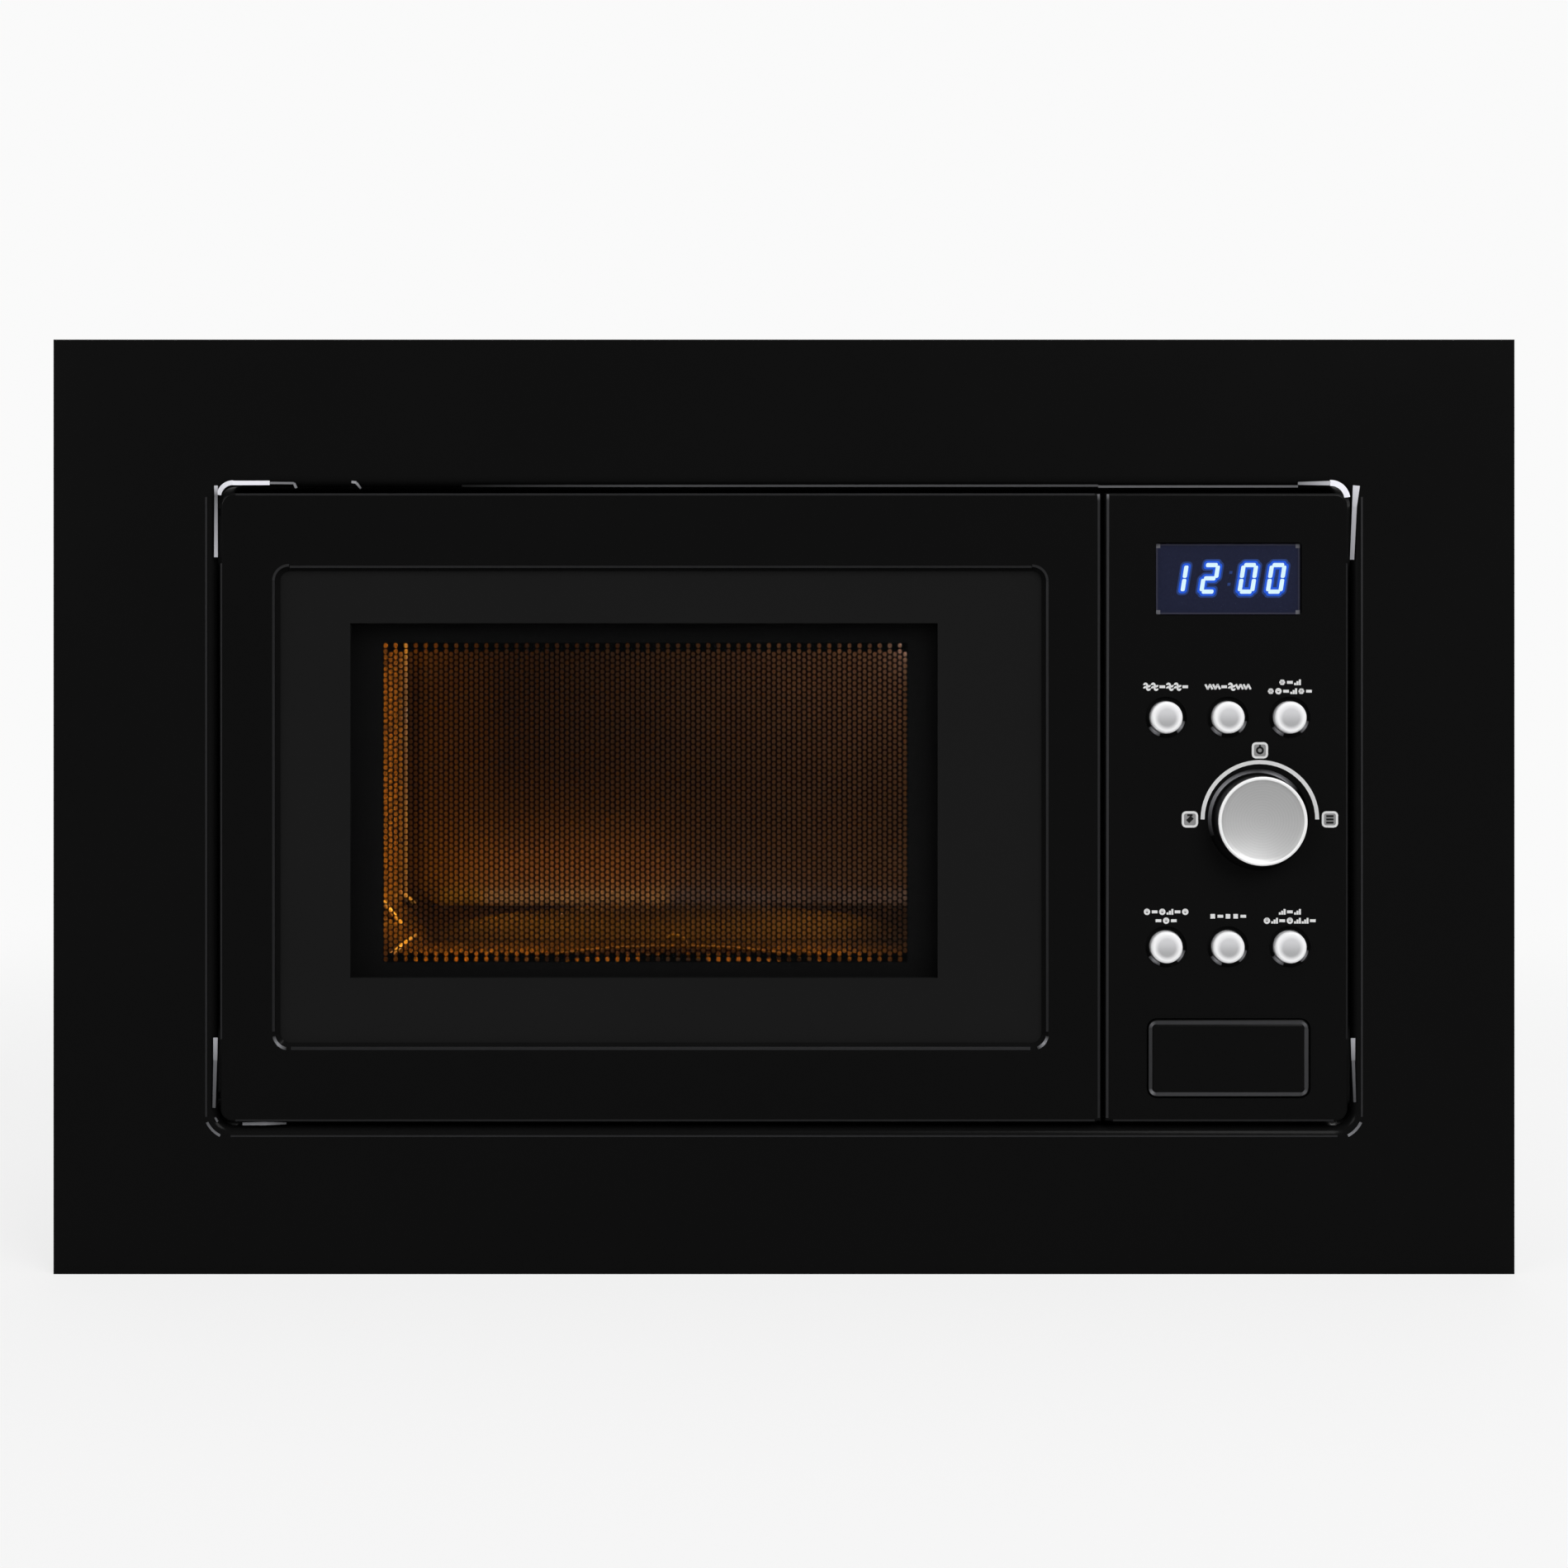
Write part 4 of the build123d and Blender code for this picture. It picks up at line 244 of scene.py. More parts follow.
class Shader(Nodes):
    """One material and the nodes that make it."""

    def __init__(self, name: str) -> None:
        """Start a material with only its output and a principled surface.

        Args:
            name: The material's name.
        """
        self.material = bpy.data.materials.new(name)
        self.material.use_nodes = True
        super().__init__(self.material.node_tree)
        self.surface = self.node("ShaderNodeBsdfPrincipled")
        self.output = self.node(
            "ShaderNodeOutputMaterial", inputs={"Surface": Socket(self, self.surface.outputs[0])}
        )

    def where(self, scale: Point = (1.0, 1.0, 1.0)) -> Socket:
        """Return Object coordinates, stretched through a Mapping node."""
        place = self.out("ShaderNodeTexCoord", "Object")
        return self.out("ShaderNodeMapping", 0, inputs={"Vector": place, "Scale": scale})

    def axes(self) -> tuple[Socket, Socket, Socket]:
        """Return the Object coordinates X, Y and Z, in metres."""
        split = self.node("ShaderNodeSeparateXYZ", inputs={0: self.where()})
        return tuple(Socket(self, output) for output in split.outputs)

    def radius(self, centre: Point) -> Socket:
        """Return the distance from an axis that runs along Y through the centre."""
        x, _, z = self.axes()
        across = x - centre[0]
        up = z - centre[2]
        return (across * across + up * up) ** 0.5

    def noise(self, scale: float, detail: float = 3.0, stretch: Point = (1.0, 1.0, 1.0)) -> Socket:
        """Return fractal noise, 0 to 1.

        Args:
            scale: Cells per metre.
            detail: Octaves.
            stretch: Stretch of the pattern along X, Y and Z.

        Returns:
            The noise value.
        """
        sockets = {"Vector": self.where(stretch), "Scale": scale, "Detail": detail}
        return self.out("ShaderNodeTexNoise", "Fac", inputs=sockets)

    def cells(self, scale: float, output: str) -> Socket:
        """Return one output of a Voronoi pattern.

        Args:
            scale: Cells per metre.
            output: The output's name.

        Returns:
            The output.
        """
        return self.out("ShaderNodeTexVoronoi", output, inputs={"Vector": self.where(), "Scale": scale})

    def bump(self, height: Any, distance: float) -> None:
        """Feed a height to the surface's normal.

        Args:
            height: Height, 0 to 1.
            distance: Metres that a height of 1 stands for.
        """
        normal = self.out("ShaderNodeBump", 0, inputs={"Height": height, "Distance": distance})
        self.fill(self.surface.inputs["Normal"], normal)

    def set(self, **sockets: Any) -> None:
        """Fill the principled surface's sockets, named with underscores for spaces."""
        for name, value in sockets.items():
            self.fill(self.surface.inputs[name.replace("_", " ")], value)


@dataclass(frozen=True)
class Finish:
    """A finish that a maker gives to one or more pieces."""

    name: str
    colour: Colour = (0.5, 0.5, 0.5)
    roughness: float = 0.5
    specular: float = 0.3

    def dress(self, shader: Shader) -> None:
        """Add the finish's own nodes."""
        shader.set(Base_Color=self.colour, Roughness=self.roughness)

    def material(self) -> Any:
        """Build the material once, and return it."""
        found = bpy.data.materials.get(self.name)
        if found is not None and found.get("finish") == self.name:
            return found
        shader = Shader(self.name)
        shader.set(Specular_IOR_Level=self.specular)
        self.dress(shader)
        shader.material["finish"] = self.name
        return shader.material


@dataclass(frozen=True)
class PowderCoat(Finish):
    """Baked paint with a fine orange peel."""

    cloud: float = 14.0
    lift: float = 1.1
    dull: float = 0.02
    grain: float = 900.0
    depth: float = 0.00001

    def dress(self, shader: Shader) -> None:
        """Vary the colour and the gloss a little, and give the surface its grain."""
        cloud = shader.noise(self.cloud)
        shader.set(
            Base_Color=shader.blend(cloud, self.colour, times(self.colour, self.lift)),
            Roughness=cloud.ramp(0.3, 0.7, self.roughness - 0.02, self.roughness + self.dull),
        )
        shader.bump(shader.noise(self.grain, 2.0), self.depth)


@dataclass(frozen=True)
class MouldedPlastic(PowderCoat):
    """Moulded plastic with a fine spark-eroded texture."""

    cloud: float = 22.0
    lift: float = 1.08
    dull: float = 0.03
    grain: float = 1600.0
    depth: float = 0.000005


@dataclass(frozen=True)
class ZincSheet(Finish):
    """Galvanised steel with its spangle."""

    spangle: float = 130.0

    def dress(self, shader: Shader) -> None:
        """Give each crystal its own shade and gloss."""
        shade = shader.out("ShaderNodeRGBToBW", inputs={0: shader.cells(self.spangle, "Color")})
        stain = shader.noise(7.0)
        shader.set(
            Base_Color=shader.blend(shade * 0.7 + stain * 0.3, times(self.colour, 0.74), self.colour),
            Metallic=0.6,
            Roughness=shade.ramp(0.2, 0.8, self.roughness - 0.08, self.roughness + 0.1),
        )
        shader.bump(shade, 0.000012)


@dataclass(frozen=True)
class BrushedMetal(Finish):
    """Metal with fine lines along one direction."""

    lines: Point = (1.0, 60.0, 60.0)

    def dress(self, shader: Shader) -> None:
        """Stretch noise into brush lines."""
        brush = shader.noise(60.0, 4.0, self.lines)
        shader.set(
            Base_Color=shader.blend(brush, times(self.colour, 0.82), self.colour),
            Metallic=1.0,
            Roughness=brush.ramp(0.3, 0.7, self.roughness - 0.05, self.roughness + 0.08),
        )
        shader.bump(brush, 0.00001)


@dataclass(frozen=True)
class Enamel(Finish):
    """Vitreous enamel with a faint speckle and baked-on haze."""

    speckle: Colour = (0.3, 0.26, 0.2)

    def dress(self, shader: Shader) -> None:
        """Scatter specks and haze over the enamel."""
        specks = shader.cells(420.0, "Distance").ramp(0.12, 0.2, 1.0, 0.0)
        haze = shader.noise(18.0, 4.0)
        warm = tuple(channel * factor for channel, factor in zip(self.colour, (0.92, 0.86, 0.74)))
        base = shader.blend(haze, self.colour, warm)
        shader.set(
            Base_Color=shader.blend(specks * 0.35, base, self.speckle),
            Roughness=haze.ramp(0.3, 0.75, self.roughness, self.roughness + 0.08),
        )
        shader.bump(shader.noise(90.0, 2.0), 0.00003)


@dataclass(frozen=True)
class ClearSheet(Finish):
    """Glass or lens, seen through by its alpha."""

    alpha: float = 0.3

    def dress(self, shader: Shader) -> None:
        """Set the tint, and let dust dull the gloss a little."""
        dust = shader.noise(60.0, 5.0)
        shader.set(
            Base_Color=self.colour,
            Alpha=self.alpha,
            Roughness=dust.ramp(0.4, 0.8, self.roughness, self.roughness + 0.05),
            IOR=1.5,
        )


@dataclass(frozen=True)
class TurnedCap(Finish):
    """Silver face with fine turned rings, a polished rim painted near white as a painted highlight, and a
    dark skirt behind it.
    """

    centre: Point = (0.0, 0.0, 0.0)
    rim_from: float = 0.016
    skirt_from: float = 0.0
    rings: float = 0.0011
    metallic: float = 0.45
    skirt: Colour = (0.02, 0.02, 0.02)

    def dress(self, shader: Shader) -> None:
        """Turn rings about the cap's own axis, and mask the rim and the skirt."""
        _, y, _ = shader.axes()
        radius = shader.radius(self.centre)
        ring = radius.wave(self.rings)
        rim = radius.above(self.rim_from)
        skirt = y.above(self.skirt_from) * radius.above(self.rim_from + SKIN)
        face = shader.blend(ring, times(self.colour, 0.95), self.colour)
        # Painted highlight: the rim is painted near white for the light its polished edge catches.
        bright = shader.blend(rim, face, grey(0.97))
        shader.set(
            Base_Color=shader.blend(skirt, bright, self.skirt),
            Metallic=(1 - skirt) * (1 - rim * 0.8) * self.metallic,
            Roughness=(ring * 0.03 + self.roughness) * (1 - rim * 0.3),
        )
        shader.bump(ring, 0.000002)


@dataclass(frozen=True)
class PushCap(Finish):
    """Light glossy cap round a grey centre: the light rim and the grey centre are painted highlight and
    painted shade of one cap.
    """

    centre: Point = (0.0, 0.0, 0.0)
    shaded_centre_r: float = 0.0031
    shaded_centre: Colour = (0.42, 0.42, 0.43)

    def dress(self, shader: Shader) -> None:
        """Fade from the grey centre to the light rim, and darken the centre downwards as painted shade."""
        _, _, z = shader.axes()
        rim = shader.radius(self.centre).ramp(self.shaded_centre_r, self.shaded_centre_r + 0.0023)
        # Painted shade: the centre is lighter at the top and darker towards the bottom.
        up = (z - self.centre[2]).ramp(-self.shaded_centre_r, self.shaded_centre_r)
        shaded_centre = shader.blend(up, times(self.shaded_centre, 0.95), times(self.shaded_centre, 1.5))
        shader.set(
            Base_Color=shader.blend(rim, shaded_centre, self.colour),
            Roughness=rim.ramp(0.0, 1.0, self.roughness + 0.2, self.roughness),
        )
        shader.bump(shader.noise(1500.0, 2.0), 0.000004)


@dataclass(frozen=True)
class TintedFilm(Finish):
    """Blue film behind the display lens, lighter along its edge and at its corners."""

    middle: Point = (0.0, 0.0, 0.0)
    half_w: float = 0.029
    half_h: float = 0.0144
    edge: float = 0.0007
    corner: float = 0.00168
    edge_tint: Colour = (0.048, 0.048, 0.075)
    corner_tint: Colour = (0.18, 0.18, 0.2)

    def dress(self, shader: Shader) -> None:
        """Mask the edge and the four corners, and mottle the blue."""
        x, _, z = shader.axes()
        side = abs(x - self.middle[0]) - self.half_w
        rise = abs(z - self.middle[2]) - self.half_h
        rim = side.above(-self.edge).most(rise.above(-self.edge))
        corner = side.above(-self.corner) * rise.above(-self.corner)
        mottle = shader.noise(900.0, 2.0)
        blue = shader.blend(mottle, times(self.colour, 0.8), times(self.colour, 1.25))
        edged = shader.blend(rim, blue, self.edge_tint)
        shader.set(Base_Color=shader.blend(corner, edged, self.corner_tint), Roughness=self.roughness)
        shader.bump(mottle, 0.000004)


@dataclass(frozen=True)
class PaintedHighlight(Finish):
    """Painted highlight: near-white colour blended over the black paint by the piece's own tone."""

    paint: Colour = (0.0055, 0.0055, 0.0055)

    def dress(self, shader: Shader) -> None:
        """Blend the black paint and the painted highlight by the tone that the mesh carries."""
        tone = shader.out("ShaderNodeAttribute", "Fac", {"attribute_name": Gleams.TONE})
        rub = shader.noise(700.0, 2.0)
        shader.set(
            Base_Color=shader.blend(tone, self.paint, self.colour),
            Roughness=rub.ramp(0.3, 0.7, self.roughness, self.roughness + 0.1),
        )
        shader.bump(rub, 0.000004)


@dataclass(frozen=True)
class BoardFinish(Finish):
    """Circuit board: solder mask with tracks, and dark parts that stand off it."""

    front_y: float = 0.0
    thickness: float = 0.0016
    parts: Colour = (0.03, 0.03, 0.03)

    def dress(self, shader: Shader) -> None:
        """Draw tracks on the board and darken what stands off it."""
        _, y, _ = shader.axes()
        half = self.thickness / 2
        off_board = abs(y - (self.front_y + half)).above(half + SKIN / 4)
        tracks = shader.out(
            "ShaderNodeTexBrick", "Fac", {"offset": 0.5},
            {"Vector": shader.where(), "Scale": 90.0, "Mortar Size": 0.06},
        )
        board = shader.blend(tracks, self.colour, times(self.colour, 1.9))
        shader.set(Base_Color=shader.blend(off_board, board, self.parts), Roughness=self.roughness)
        shader.bump(tracks, 0.00003)


@dataclass(frozen=True)
class WoundCore(Finish):
    """Laminated iron with copper windings that stand out at its ends."""

    middle_y: float = 0.13
    half_core: float = 0.033
    sheet_pitch: float = 0.0007
    wire_pitch: float = 0.0011
    copper: Colour = (0.45, 0.16, 0.06)

    def dress(self, shader: Shader) -> None:
        """Stripe the laminations and wind the ends in copper."""
        _, y, z = shader.axes()
        end = abs(y - self.middle_y).above(self.half_core + SKIN)
        sheets = y.wave(self.sheet_pitch)
        wires = z.wave(self.wire_pitch)
        iron = shader.blend(sheets, self.colour, times(self.colour, 1.6))
        wound = shader.blend(wires, self.copper, times(self.copper, 0.55))
        shader.set(Base_Color=shader.blend(end, iron, wound), Metallic=0.6, Roughness=self.roughness)
        shader.bump(wires * end + sheets * (1 - end), 0.00008)


@dataclass(frozen=True)
class Glow(Finish):
    """Lit segment."""

    strength: float = 1.0

    def dress(self, shader: Shader) -> None:
        """Light the segment evenly, a little less at random spots."""
        flicker = shader.noise(500.0)
        shader.set(
            Base_Color=grey(0.01),
            Emission_Color=shader.blend(flicker, self.colour, times(self.colour, 0.9)),
            Emission_Strength=self.strength,
        )


@dataclass(frozen=True)
class Paints:
    """Every finish of the oven that isn't tied to one piece's place."""

    frame: Finish = PowderCoat("frame powder coat", grey(0.005), 0.22, 0.06)
    moulding: Finish = MouldedPlastic("black moulding", grey(0.005), 0.16, 0.06)
    inner_panel: Finish = MouldedPlastic("door inner panel", grey(0.0102), 0.2, 0.06)
    cover: Finish = MouldedPlastic("door rear cover", grey(0.012), 0.4, 0.3, grain=900.0)
    zinc: Finish = ZincSheet("galvanised sheet", (0.5, 0.51, 0.52), 0.5)
    steel: Finish = BrushedMetal("bright steel", grey(0.62), 0.24)
    spring_steel: Finish = BrushedMetal("spring steel", grey(0.5), 0.3)
    foam: Finish = MouldedPlastic("black foam", grey(0.004), 0.8, 0.02, grain=700.0, depth=0.0001)
    seal_paint: Finish = PowderCoat("door seal paint", grey(0.004), 0.42, 0.1)
    enamel: Finish = Enamel("cavity enamel", (0.17, 0.12, 0.07), 0.16, 0.5)
    smoked: Finish = ClearSheet("smoked window glass", grey(0.003), 0.03, 0.15, alpha=0.4)
    clear: Finish = ClearSheet("lamp glass", (0.72, 0.8, 0.76), 0.03, 0.4, alpha=0.22)
    plate: Finish = ClearSheet("plate glass", (0.3, 0.25, 0.18), 0.03, 0.3, alpha=0.07)
    pane: Finish = ClearSheet("inner pane", grey(0.01), 0.03, 0.1, alpha=0.1)
    lens: Finish = ClearSheet("display lens", (0.004, 0.004, 0.01), 0.05, 0.2, alpha=0.1)
    display: Finish = MouldedPlastic("display face", (0.012, 0.014, 0.03), 0.5, 0.1)
    screen: Finish = PowderCoat("screen enamel", grey(0.0035), 0.5, 0.05)
    # Painted light: the margin is a lighter copy of the screen's black enamel.
    margin: Finish = PowderCoat("screen margin", grey(0.026), 0.5, 0.05)
    white: Finish = MouldedPlastic("white nylon", (0.62, 0.61, 0.57), 0.42)
    brown_part: Finish = MouldedPlastic("smoked nylon", (0.075, 0.052, 0.034), 0.4)
    black_part: Finish = MouldedPlastic("black nylon", grey(0.02), 0.5)
    board: Finish = BoardFinish("control board", (0.012, 0.1, 0.035), 0.35, front_y=-0.010)
    filter: Finish = MouldedPlastic("filter board", (0.03, 0.12, 0.05), 0.4)
    # Painted shade: the cove enamel is a darker copy of the cavity enamel.
    cove: Finish = Enamel("cove enamel", (0.11, 0.075, 0.045), 0.2, 0.3)
    # Painted highlights: the bead enamel is near white, for rods along the chamber's corners and cove.
    highlight_bead: Finish = Enamel("bead enamel", (0.95, 0.9, 0.8), 0.12, 0.8)
    mica: Finish = Enamel("mica sheet", (0.42, 0.36, 0.26), 0.6, speckle=(0.2, 0.15, 0.08))
    element: Finish = BrushedMetal("element sheath", (0.2, 0.17, 0.14), 0.4)
    alloy: Finish = BrushedMetal("cast alloy", grey(0.55), 0.34, lines=(8.0, 8.0, 8.0))
    core: Finish = WoundCore("transformer", (0.09, 0.08, 0.075), 0.5)
    ink: Finish = MouldedPlastic("white ink", grey(0.66), 0.5, 0.1)
    tile_ink: Finish = MouldedPlastic("grey ink", grey(0.24), 0.5, 0.1)
    mark_ink: Finish = MouldedPlastic("dark ink", grey(0.012), 0.5, 0.1)
    # The bare finish is a painted highlight: near-white colour on the gleam strips, for light caught on
    # edges.
    bare: Finish = PaintedHighlight("painted lip highlight", (0.92, 0.92, 0.98), 0.3, 0.2)
    lit: Finish = Glow("lit segment", (0.7, 0.92, 1.0), strength=1.15)
    halo: Finish = Glow("segment halo", (0.005, 0.1, 0.78), strength=1.0)
    haze: Finish = Glow("segment haze", (0.011, 0.04, 0.19), strength=1.0)


class Kit:
    """Small helpers that make and place the new pieces."""

    FACING = Matrix.Rotation(radians(90), 4, "X")
    NEAR = 1e-6
    STEP_DEGREES = 6

    @staticmethod
    def new_object(mesh: Any, name: str) -> Any:
        """Turn a bmesh into an object of the scene.

        Args:
            mesh: The finished bmesh, which is freed.
            name: The object's name.

        Returns:
            The new object.
        """
        data = bpy.data.meshes.new(name)
        mesh.to_mesh(data)
        mesh.free()
        made = bpy.data.objects.new(name, data)
        bpy.context.scene.collection.objects.link(made)
        return made

    @staticmethod
    def finish_piece(
        mesh: Any, name: str, body: str, finish: Finish, slot: str | None = None, smooth: bool = False
    ) -> Any:
        """Turn a bmesh into a piece that rides on a body.

        Args:
            mesh: The finished bmesh, which is freed.
            name: The piece's name.
            body: The body it rides on.
            finish: Its finish.
            slot: A material slot's name, or None; not used.
            smooth: Whether its faces are shaded smooth.

        Returns:
            The new object.
        """
        bmesh.ops.remove_doubles(mesh, verts=mesh.verts, dist=Kit.NEAR)
        piece = Kit.new_object(mesh, name)
        piece.data.materials.append(finish.material())
        for face in piece.data.polygons if smooth else ():
            face.use_smooth = True
        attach(piece, body)
        LOG.info("piece %s: %d faces, rides on %s", name, len(piece.data.polygons), body)
        return piece

    @staticmethod
    def bevel(mesh: Any, geom: list, offset: float, segments: int, affect: str = "VERTICES") -> dict:
        """Round vertices or edges.

        Args:
            mesh: The bmesh.
            geom: What is rounded.
            offset: How far the rounding reaches.
            segments: Its steps.
            affect: VERTICES or EDGES.

        Returns:
            What the operator made.
        """
        return bmesh.ops.bevel(
            mesh, geom=geom, offset=offset, segments=segments, profile=0.5, affect=affect, material=-1
        )

    @staticmethod
    def plate(mesh: Any, width: float, height: float, centre: Point, cut: float = 0.0) -> list:
        """Add a flat plate that faces the front.

        Args:
            mesh: The bmesh to add to.
            width: Size along X.
            height: Size along Z.
            centre: Its centre.
            cut: Rounding of each corner, or 0.

        Returns:
            The plate's vertices.
        """
        made = bmesh.ops.create_grid(mesh, x_segments=1, y_segments=1, size=0.5, matrix=Kit.FACING)
        verts = made["verts"]
        bmesh.ops.scale(mesh, vec=(width, 1.0, height), verts=verts)
        if cut > 0:
            made = Kit.bevel(mesh, verts, cut, 3)
            verts = Kit.linked([vert for face in made["faces"] for vert in face.verts] + list(made["verts"]))
        bmesh.ops.translate(mesh, vec=centre, verts=verts)
        return verts

    @staticmethod
    def spin(mesh: Any, verts: list, edges: list, centre: Point, turn: float, steps: int) -> None:
        """Sweep a line round an axis that runs along Y.

        Args:
            mesh: The bmesh.
            verts: The line's vertices.
            edges: The line's edges.
            centre: A point on the axis.
            turn: Angle swept in degrees, closed when full.
            steps: Number of steps.
        """
        bmesh.ops.spin(
            mesh, geom=verts + edges, cent=centre, axis=(0.0, -1.0, 0.0), angle=radians(turn), steps=steps,
            use_merge=abs(turn) >= 360, use_normal_flip=False, use_duplicate=False, dvec=(0.0, 0.0, 0.0),
        )

    @staticmethod
    def ring(mesh: Any, centre: Point, radius: float, line: float, start: float, turn: float) -> None:
        """Sweep a short line round a centre to an arc or a ring.

        Args:
            mesh: The bmesh to add to.
            centre: The centre.
            radius: Middle radius.
            line: Line width.
            start: Start angle in degrees from +X.
            turn: Angle swept.
        """
        out = Vector((cos(radians(start)), 0.0, sin(radians(start))))
        ends = [mesh.verts.new(Vector(centre) + out * (radius + side * line / 2)) for side in (-1, 1)]
        steps = max(4, round(abs(turn) / Kit.STEP_DEGREES))
        Kit.spin(mesh, ends, [mesh.edges.new(ends)], centre, turn, steps)

    @staticmethod
    def faces_at(verts: list) -> list:
        """Return the faces that touch the given vertices."""
        return list(dict.fromkeys(face for vert in verts for face in vert.link_faces))

    @staticmethod
    def made_verts(made: dict) -> list:
        """Return the vertices among an operator's new geometry."""
        return [item for item in made["geom"] if isinstance(item, bmesh.types.BMVert)]

    @staticmethod
    def linked(verts: list) -> list:
        """Return all the vertices that edges join to the given ones."""
        seen = dict.fromkeys(verts)
        todo = list(seen)
        while todo:
            for edge in todo.pop().link_edges:
                for other in edge.verts:
                    if other not in seen:
                        seen[other] = None
                        todo.append(other)
        return list(seen)

    @staticmethod
    def raise_by(mesh: Any, depth: float) -> None:
        """Give every flat face of the mesh a thickness towards the front.

        Args:
            mesh: The bmesh of flat faces.
            depth: The thickness.
        """
        bmesh.ops.recalc_face_normals(mesh, faces=mesh.faces)
        made = bmesh.ops.extrude_face_region(mesh, geom=list(mesh.faces), use_keep_orig=True)
        bmesh.ops.translate(mesh, vec=(0.0, -depth, 0.0), verts=Kit.made_verts(made))
        bmesh.ops.recalc_face_normals(mesh, faces=mesh.faces)


@dataclass
class Assembly:
    """A sub-assembly of the oven, dressed from one set of finishes."""

    paints: Paints

    @staticmethod
    def dress_nodes(finish: Finish, *nodes: str) -> None:
        """Give CAD nodes a finish.

        Args:
            finish: The finish.
            nodes: The nodes' names.
        """
        for node in nodes:
            for slot in frame["nodes"][node].material_slots:
                slot.material = finish.material()
            LOG.info("node %s: %s", node, finish.name)

    def dress(self, **nodes: str) -> None:
        """Give CAD nodes their finishes.

        Args:
            nodes: The nodes' names with spaces between, by the name of the finish.
        """
        for finish, names in nodes.items():
            self.dress_nodes(getattr(self.paints, finish), *names.split())


class Segment(Enum):
    """The seven segments of a digit: place across, place up, and whether it stands upright."""

    TOP = (0, 2, False)
    TOP_RIGHT = (1, 1, True)
    LOW_RIGHT = (1, -1, True)
    BOTTOM = (0, -2, False)
    LOW_LEFT = (-1, -1, True)
    TOP_LEFT = (-1, 1, True)
    MIDDLE = (0, 0, False)


DIGITS: dict[str, tuple[Segment, ...]] = {
    "0": tuple(segment for segment in Segment if segment is not Segment.MIDDLE),
    "1": (Segment.TOP_RIGHT, Segment.LOW_RIGHT),
    "2": (Segment.TOP, Segment.TOP_RIGHT, Segment.MIDDLE, Segment.LOW_LEFT, Segment.BOTTOM),
}


@dataclass
class Clock(Assembly):
    """The display: a lens, the blue film behind it and the lit figures between them."""

    digit_w: float = 0.0068
    digit_h: float = 0.0125
    stroke: float = 0.0017
    split: float = 0.0004
    rounding: float = 0.34
    slant: float = 9.0
    middle_z: float = 0.2829
    haze_grow: float = 0.0032
    halo_grow: float = 0.0018
    film: Colour = (0.0155, 0.0185, 0.043)
    film_inset: float = 0.0003
    film_t: float = 0.00006
    layer: float = 0.00005
    places: dict[float, str] = field(
        default_factory=lambda: {0.1602: "1", 0.1730: "2", 0.1885: "0", 0.2000: "0"}
    )
    colon_x: float = 0.1812
    colon_rise: float = 0.0024
    colon_dot: float = 0.0012

    def _segment(self, mesh: Any, part: Segment, digit_x: float, grow: float) -> None:
        """Add one segment as a plate with rounded corners.

        Args:
            mesh: The bmesh to add to.
            part: The segment.
            digit_x: The digit's middle.
            grow: Extra width of the stroke.
        """
        across, up, upright = part.value
        half_w = (self.digit_w - self.stroke) / 2
        half_h = (self.digit_h - self.stroke) / 2
        long = (half_h if upright else 2 * half_w) - self.split + grow
        wide = self.stroke + grow
        size = (wide, long) if upright else (long, wide)
        Kit.plate(mesh, *size, (digit_x + across * half_w, 0.0, up * half_h / 2), wide * self.rounding)

    def _figure(self, name: str, grow: float, level: int, finish: Finish, colon: bool) -> None:
        """Make the whole clock figure in one piece.

        Args:
            name: The piece's name.
            grow: Extra width of each stroke.
            level: Number of layers between the film and its front.
            finish: Its finish.
            colon: Whether the colon is part of it.
        """
        mesh = bmesh.new()
        for digit_x, digit in self.places.items():
            for part in DIGITS[digit]:
                self._segment(mesh, part, digit_x, grow)
        if colon:
            for way in (-1, 1):
                Kit.plate(mesh, self.colon_dot, self.colon_dot, (self.colon_x, 0.0, way * self.colon_rise))
        lean = Matrix.Identity(4)
        lean[0][2] = tan(radians(self.slant))
        bmesh.ops.transform(mesh, matrix=lean, verts=mesh.verts)
        _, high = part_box("display_window")
        bmesh.ops.translate(mesh, vec=(0.0, high[1] - 2 * self.film_t, self.middle_z), verts=mesh.verts)
        Kit.raise_by(mesh, level * self.layer)
        Kit.finish_piece(mesh, name, "case", finish)

    def _film(self) -> None:
        """Lay the blue film on the lens's rear face."""
        low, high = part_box("display_window")
        middle = middle_of("display_window")
        width = high[0] - low[0] - 2 * self.film_inset
        height = high[2] - low[2] - 2 * self.film_inset
        finish = TintedFilm("display film", self.film, 0.5, 0.05, middle, width / 2, height / 2)
        mesh = bmesh.new()
        Kit.plate(mesh, width, height, (middle[0], high[1] - self.film_t, middle[2]), self.film_inset)
        Kit.raise_by(mesh, self.film_t)
        Kit.finish_piece(mesh, "display_film", "case", finish)

    def build(self) -> None:
        """Make the film, the glow round the figures and the lit figures."""
        self._film()
        self._figure("clock_haze", self.haze_grow, 1, self.paints.haze, True)
        self._figure("clock_halo", self.halo_grow, 2, self.paints.halo, False)
        self._figure("clock_figures", 0.0, 3, self.paints.lit, False)
        self.dress(display="display_module", lens="display_window")


@dataclass(frozen=True)
class Bar:
    """A printed bar, with its place, its size and its turn in degrees."""

    across: float
    up: float
    width: float
    height: float
    turn: float = 0.0


@dataclass(frozen=True)
class Hoop:
    """A printed ring or arc, with its centre, its radius and its angles in degrees."""

    across: float
    up: float
    radius: float
    start: float = 0.0
    turn: float = 360.0


